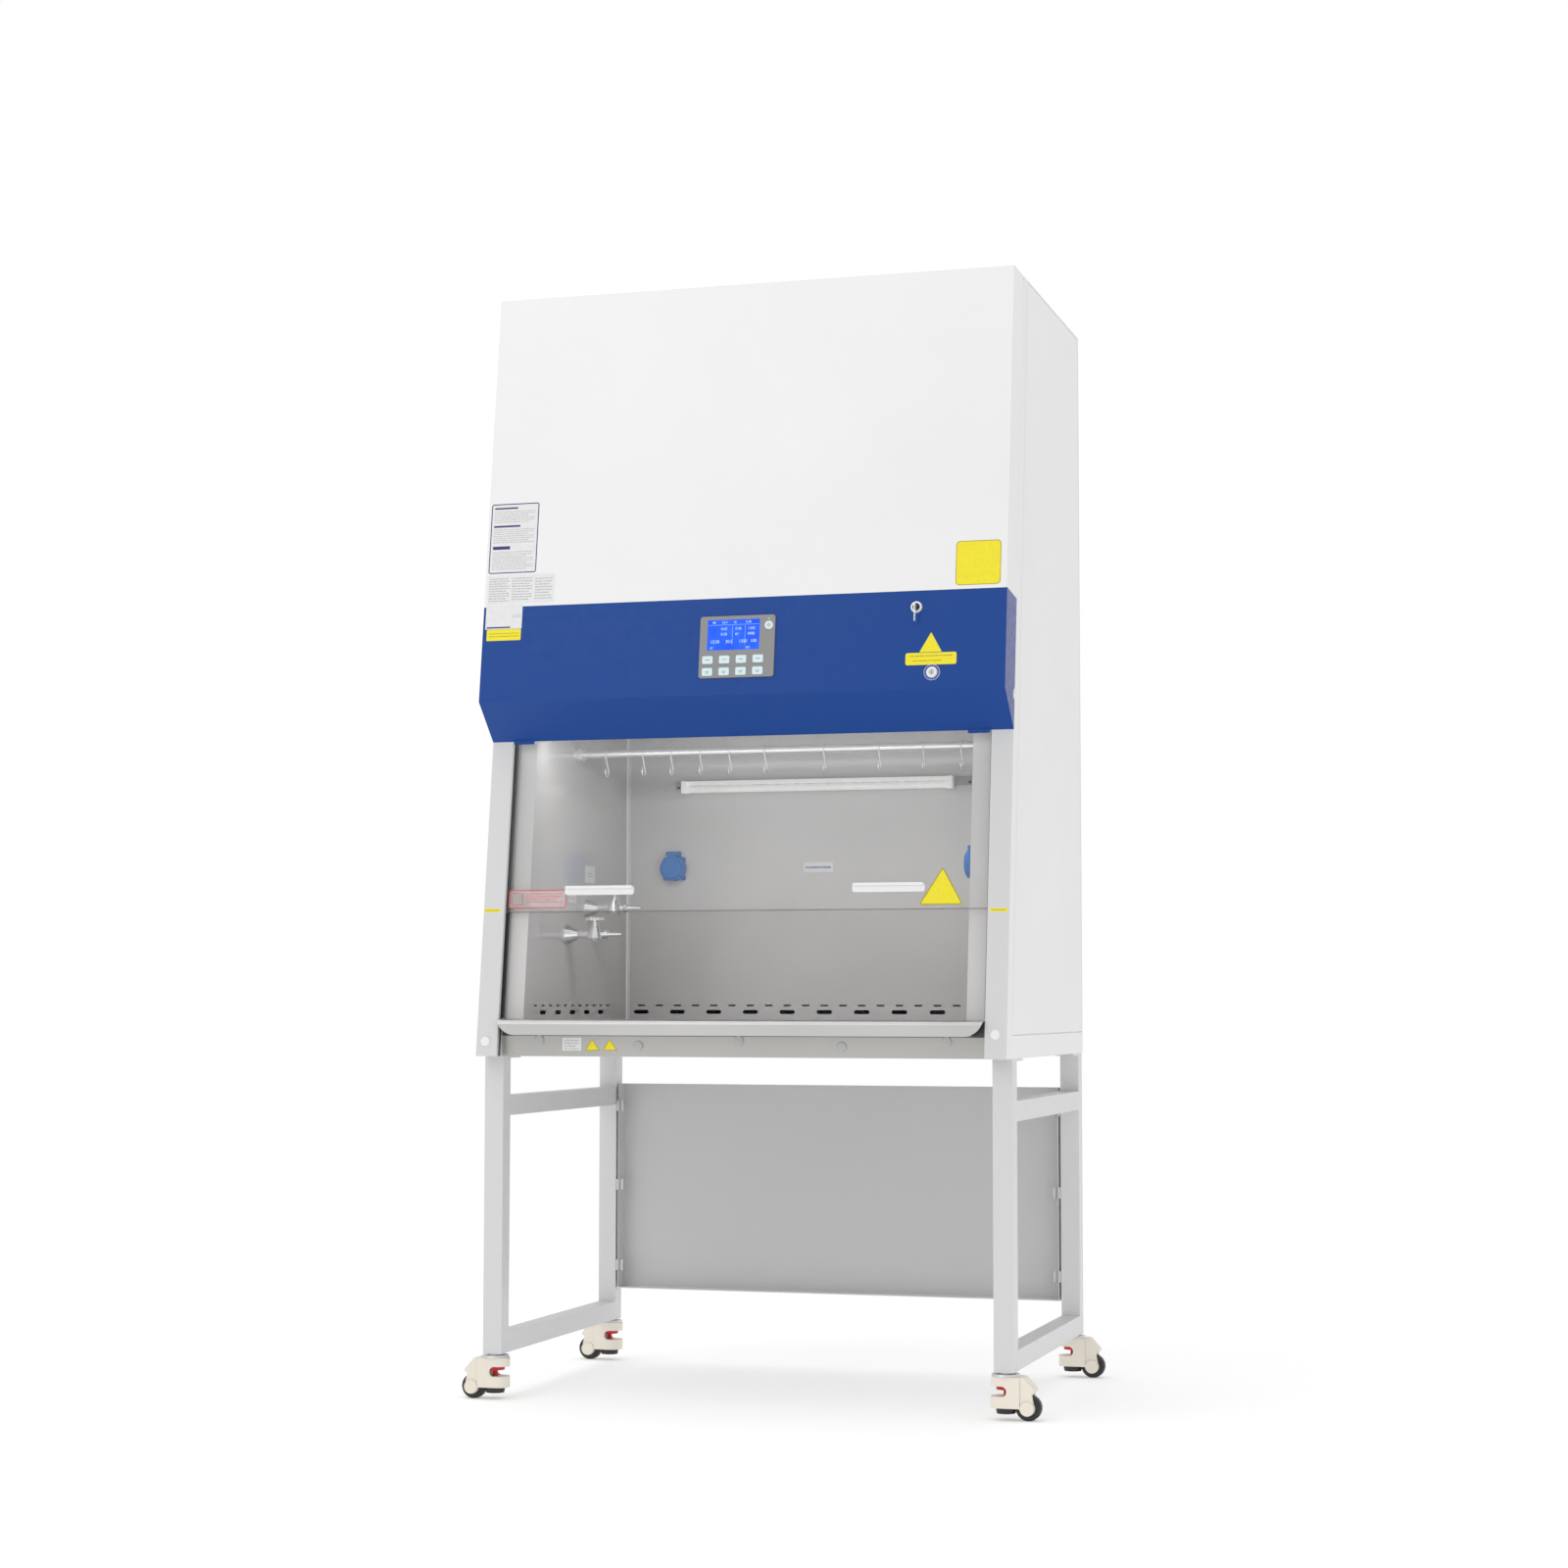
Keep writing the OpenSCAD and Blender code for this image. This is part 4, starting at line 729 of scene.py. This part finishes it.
# Stickers on the hood: thin coated-paper and vinyl labels, all left blank or with plain bars
# and greyed dashes in place of print. Each is pressed on and rides with its sheet.
STICKER_THICK = 0.0001
INK_THICK = 0.00004
GLUE = 0.00003
DASHES = (0.0025, 0.006, 0.004, 0.0075, 0.0035)
DASH_GAP = 0.0012

paper = ink("label_paper", (0.82, 0.82, 0.82), 0.55)
navy = ink("navy_print", (0.035, 0.030, 0.17), 0.5)
grey_print = ink("grey_print", (0.50, 0.50, 0.52), 0.55)
on_paper = [paper, navy, grey_print]
yellow = ink("yellow_vinyl", (0.93, 0.80, 0.015), 0.45)
yellow_edge = ink("yellow_edge", (0.42, 0.36, 0.02), 0.5)
on_yellow = [yellow, yellow_edge]


def dashed_lines(shape, paint, left, right, top, rows, pitch, tall):
    """Rows of short plain dashes where a label carries small print; each third row is short."""
    for row in range(rows):
        high = top - row * pitch
        end = right - (0.15 * (right - left) if row % 3 == 2 else 0)
        start = left
        turn = row
        while start < end - 0.0015:
            width = min(DASHES[turn % len(DASHES)], end - start)
            dash = oblong(start, start + width, high - tall, high)
            film(shape, dash, INK_THICK, lift=STICKER_THICK, paint=paint)
            start += width + DASH_GAP
            turn += 2


def sticker(name, at, body, inks, corners, rounding=0.002, border=0.0, bars=(), lines=(), boxes=()):
    """A label in its first ink; its border, bars and boxes take the second, its lines the last."""
    shape = bmesh.new()
    film(shape, corners, STICKER_THICK, rounding, border=border)
    for bar in bars:
        film(shape, oblong(*bar), INK_THICK, lift=STICKER_THICK, paint=1)
    for box in boxes:
        film(shape, oblong(*box), INK_THICK, 0.002, STICKER_THICK, border=0.0011)
    for line in lines:
        dashed_lines(shape, len(inks) - 1, *line)
    shape.transform(at)
    piece(name, shape, inks, body)


HOOD_FACE = SLOPE @ Matrix.Translation((0, HOOD_FRONT - GLUE, 0))
note_top = up_hood(1.834)
sticker("note_sticker", HOOD_FACE, "hood", on_paper,
        oblong(-0.545, -0.440, up_hood(1.686), note_top), 0.005, 0.0022,
        bars=((-0.538, -0.487, note_top - 0.0115, note_top - 0.008),
              (-0.538, -0.480, note_top - 0.0505, note_top - 0.0465),
              (-0.538, -0.500, note_top - 0.098, note_top - 0.091)),
        lines=((-0.538, -0.448, note_top - 0.016, 6, 0.0045, 0.0016),
               (-0.538, -0.448, note_top - 0.055, 7, 0.0045, 0.0016),
               (-0.538, -0.448, note_top - 0.103, 9, 0.0045, 0.0016)))
data_low = up_hood(1.620)
sticker("data_sticker", HOOD_FACE, "hood", on_paper,
        oblong(-0.545, -0.397, data_low + 0.001, up_hood(1.682)), 0.001,
        lines=((-0.541, -0.497, data_low + 0.056, 10, 0.0052, 0.0022),
               (-0.491, -0.446, data_low + 0.056, 9, 0.0056, 0.0022),
               (-0.440, -0.402, data_low + 0.054, 8, 0.006, 0.0022)))
sticker("plate_sticker", HOOD_FACE, "hood", on_paper,
        oblong(-0.545, -0.465, up_hood(1.5685), up_hood(1.6195)), 0.0008,
        bars=((-0.542, -0.490, up_hood(1.5705), up_hood(1.5735)),),
        lines=((-0.486, -0.468, up_hood(1.598), 2, 0.004, 0.0016),))
sticker("yellow_strip", HOOD_FACE, "hood", on_yellow,
        oblong(-0.541, -0.466, up_hood(1.5445), up_hood(1.5680)),
        lines=((-0.536, -0.471, up_hood(1.560), 2, 0.006, 0.0016),))
sticker("yellow_square", HOOD_FACE, "hood", on_yellow,
        oblong(0.4454, 0.5362, up_hood(1.6225), up_hood(1.712)), 0.008, 0.0016)
sticker("yellow_triangle", HOOD_FACE, "hood", on_yellow,
        ((0.4215, up_hood(1.4905)), (0.3993, up_hood(1.5304)), (0.3761, up_hood(1.4905))))
sticker("yellow_plate", HOOD_FACE, "hood", on_yellow,
        oblong(0.3485, 0.4514, up_hood(1.4652), up_hood(1.4895)), 0.004,
        lines=((0.357, 0.443, up_hood(1.484), 1, 0.006, 0.0020),
               (0.363, 0.423, up_hood(1.4745), 1, 0.006, 0.0020)))

# Stickers on the glass: a clear film printed in red, with an empty box in place of its sign,
# and a plain yellow triangle. Both ride with the sash.
clear_film = ink("clear_film", (0.80, 0.74, 0.74), 0.3)
clear_film.node_tree.nodes["Principled BSDF"].inputs["Alpha"].default_value = 0.25
red_print = ink("red_print", (0.74, 0.07, 0.08), 0.5)
pale_red = ink("pale_red_print", (0.80, 0.24, 0.24), 0.5)

GLASS_BACK = 0.012
PANE_FACE = SLOPE @ Matrix.Translation((0, GLASS_BACK - GLUE, -GLASS_BACK * tan(RAKE)))
sticker("red_sticker", PANE_FACE, "sash", [clear_film, red_print, pale_red],
        oblong(-0.501, -0.376, up_pillars(0.999), up_pillars(1.036)), 0.003, 0.0019,
        boxes=((-0.495, -0.470, up_pillars(1.0055), up_pillars(1.0300)),),
        lines=((-0.463, -0.383, up_pillars(1.029), 4, 0.0055, 0.0024),))
sticker("pane_triangle", PANE_FACE, "sash", on_yellow,
        ((0.453, up_pillars(0.999)), (0.411, up_pillars(1.074)), (0.364, up_pillars(0.999))), 0.005, 0.0022)

# Level marks: a narrow yellow vinyl strip pressed across each pillar, about where the lower
# edge of the sash stands in use. The left one is a little higher.
PILLAR_FACE = SLOPE @ Matrix.Translation((0, -GLUE, 0))
sticker("level_mark_left", PILLAR_FACE, "cabinet", on_yellow,
        oblong(-0.5485, -0.513, up_pillars(0.988), up_pillars(0.995)), 0.0005,
        lines=((-0.546, -0.516, up_pillars(0.9925), 1, 0.005, 0.0018),))
sticker("level_mark_right", PILLAR_FACE, "cabinet", on_yellow,
        oblong(0.510, 0.5455, up_pillars(0.981), up_pillars(0.988)), 0.0005,
        lines=((0.513, 0.543, up_pillars(0.9855), 1, 0.005, 0.0018),))

# Stickers on the lower front panel: a small paper label and two plain yellow triangles beside
# it, pressed on the steel.
PANEL_FACE = Matrix.Translation((0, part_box("lower_front_panel")[0].y - GLUE, 0))
sticker("panel_sticker", PANEL_FACE, "cabinet", on_paper,
        oblong(-0.374, -0.3337, 0.7068, 0.7324), 0.001,
        lines=((-0.370, -0.338, 0.728, 4, 0.0055, 0.0022),))
sticker("panel_triangle_left", PANEL_FACE, "cabinet", on_yellow,
        ((-0.2937, 0.707), (-0.3107, 0.7307), (-0.3253, 0.707)), 0.002, 0.0012)
sticker("panel_triangle_right", PANEL_FACE, "cabinet", on_yellow,
        ((-0.256, 0.7072), (-0.2729, 0.7308), (-0.2874, 0.7072)), 0.002, 0.0012)

# Stickers in the chamber: two paper labels by the taps on the left wall, and one on the back
# wall with a single row of blue dashes.
LEFT_WALL = Matrix.Translation((GLUE - WALL_X, 0, 0)) @ Matrix.Rotation(pi / 2, 4, "Z")
sticker("side_sticker", LEFT_WALL, "cabinet", on_paper,
        oblong(0.003, 0.065, 1.062, 1.099), 0.0015,
        lines=((0.020, 0.050, 1.084, 2, 0.006, 0.0024),))
sticker("side_sticker_small", LEFT_WALL, "cabinet", on_paper,
        oblong(-0.098, -0.050, 1.016, 1.032), 0.001,
        lines=((-0.092, -0.056, 1.027, 1, 0.006, 0.0024),))
BACK_WALL = Matrix.Translation((0, WALL_Y - GLUE, 0))
blue_print = ink("blue_print", (0.20, 0.24, 0.45))
sticker("back_sticker", BACK_WALL, "cabinet", [paper, navy, blue_print],
        oblong(-0.0475, 0.0199, 1.0905, 1.1125), 0.0012,
        lines=((-0.043, 0.0155, 1.1035, 1, 0.006, 0.0042),))
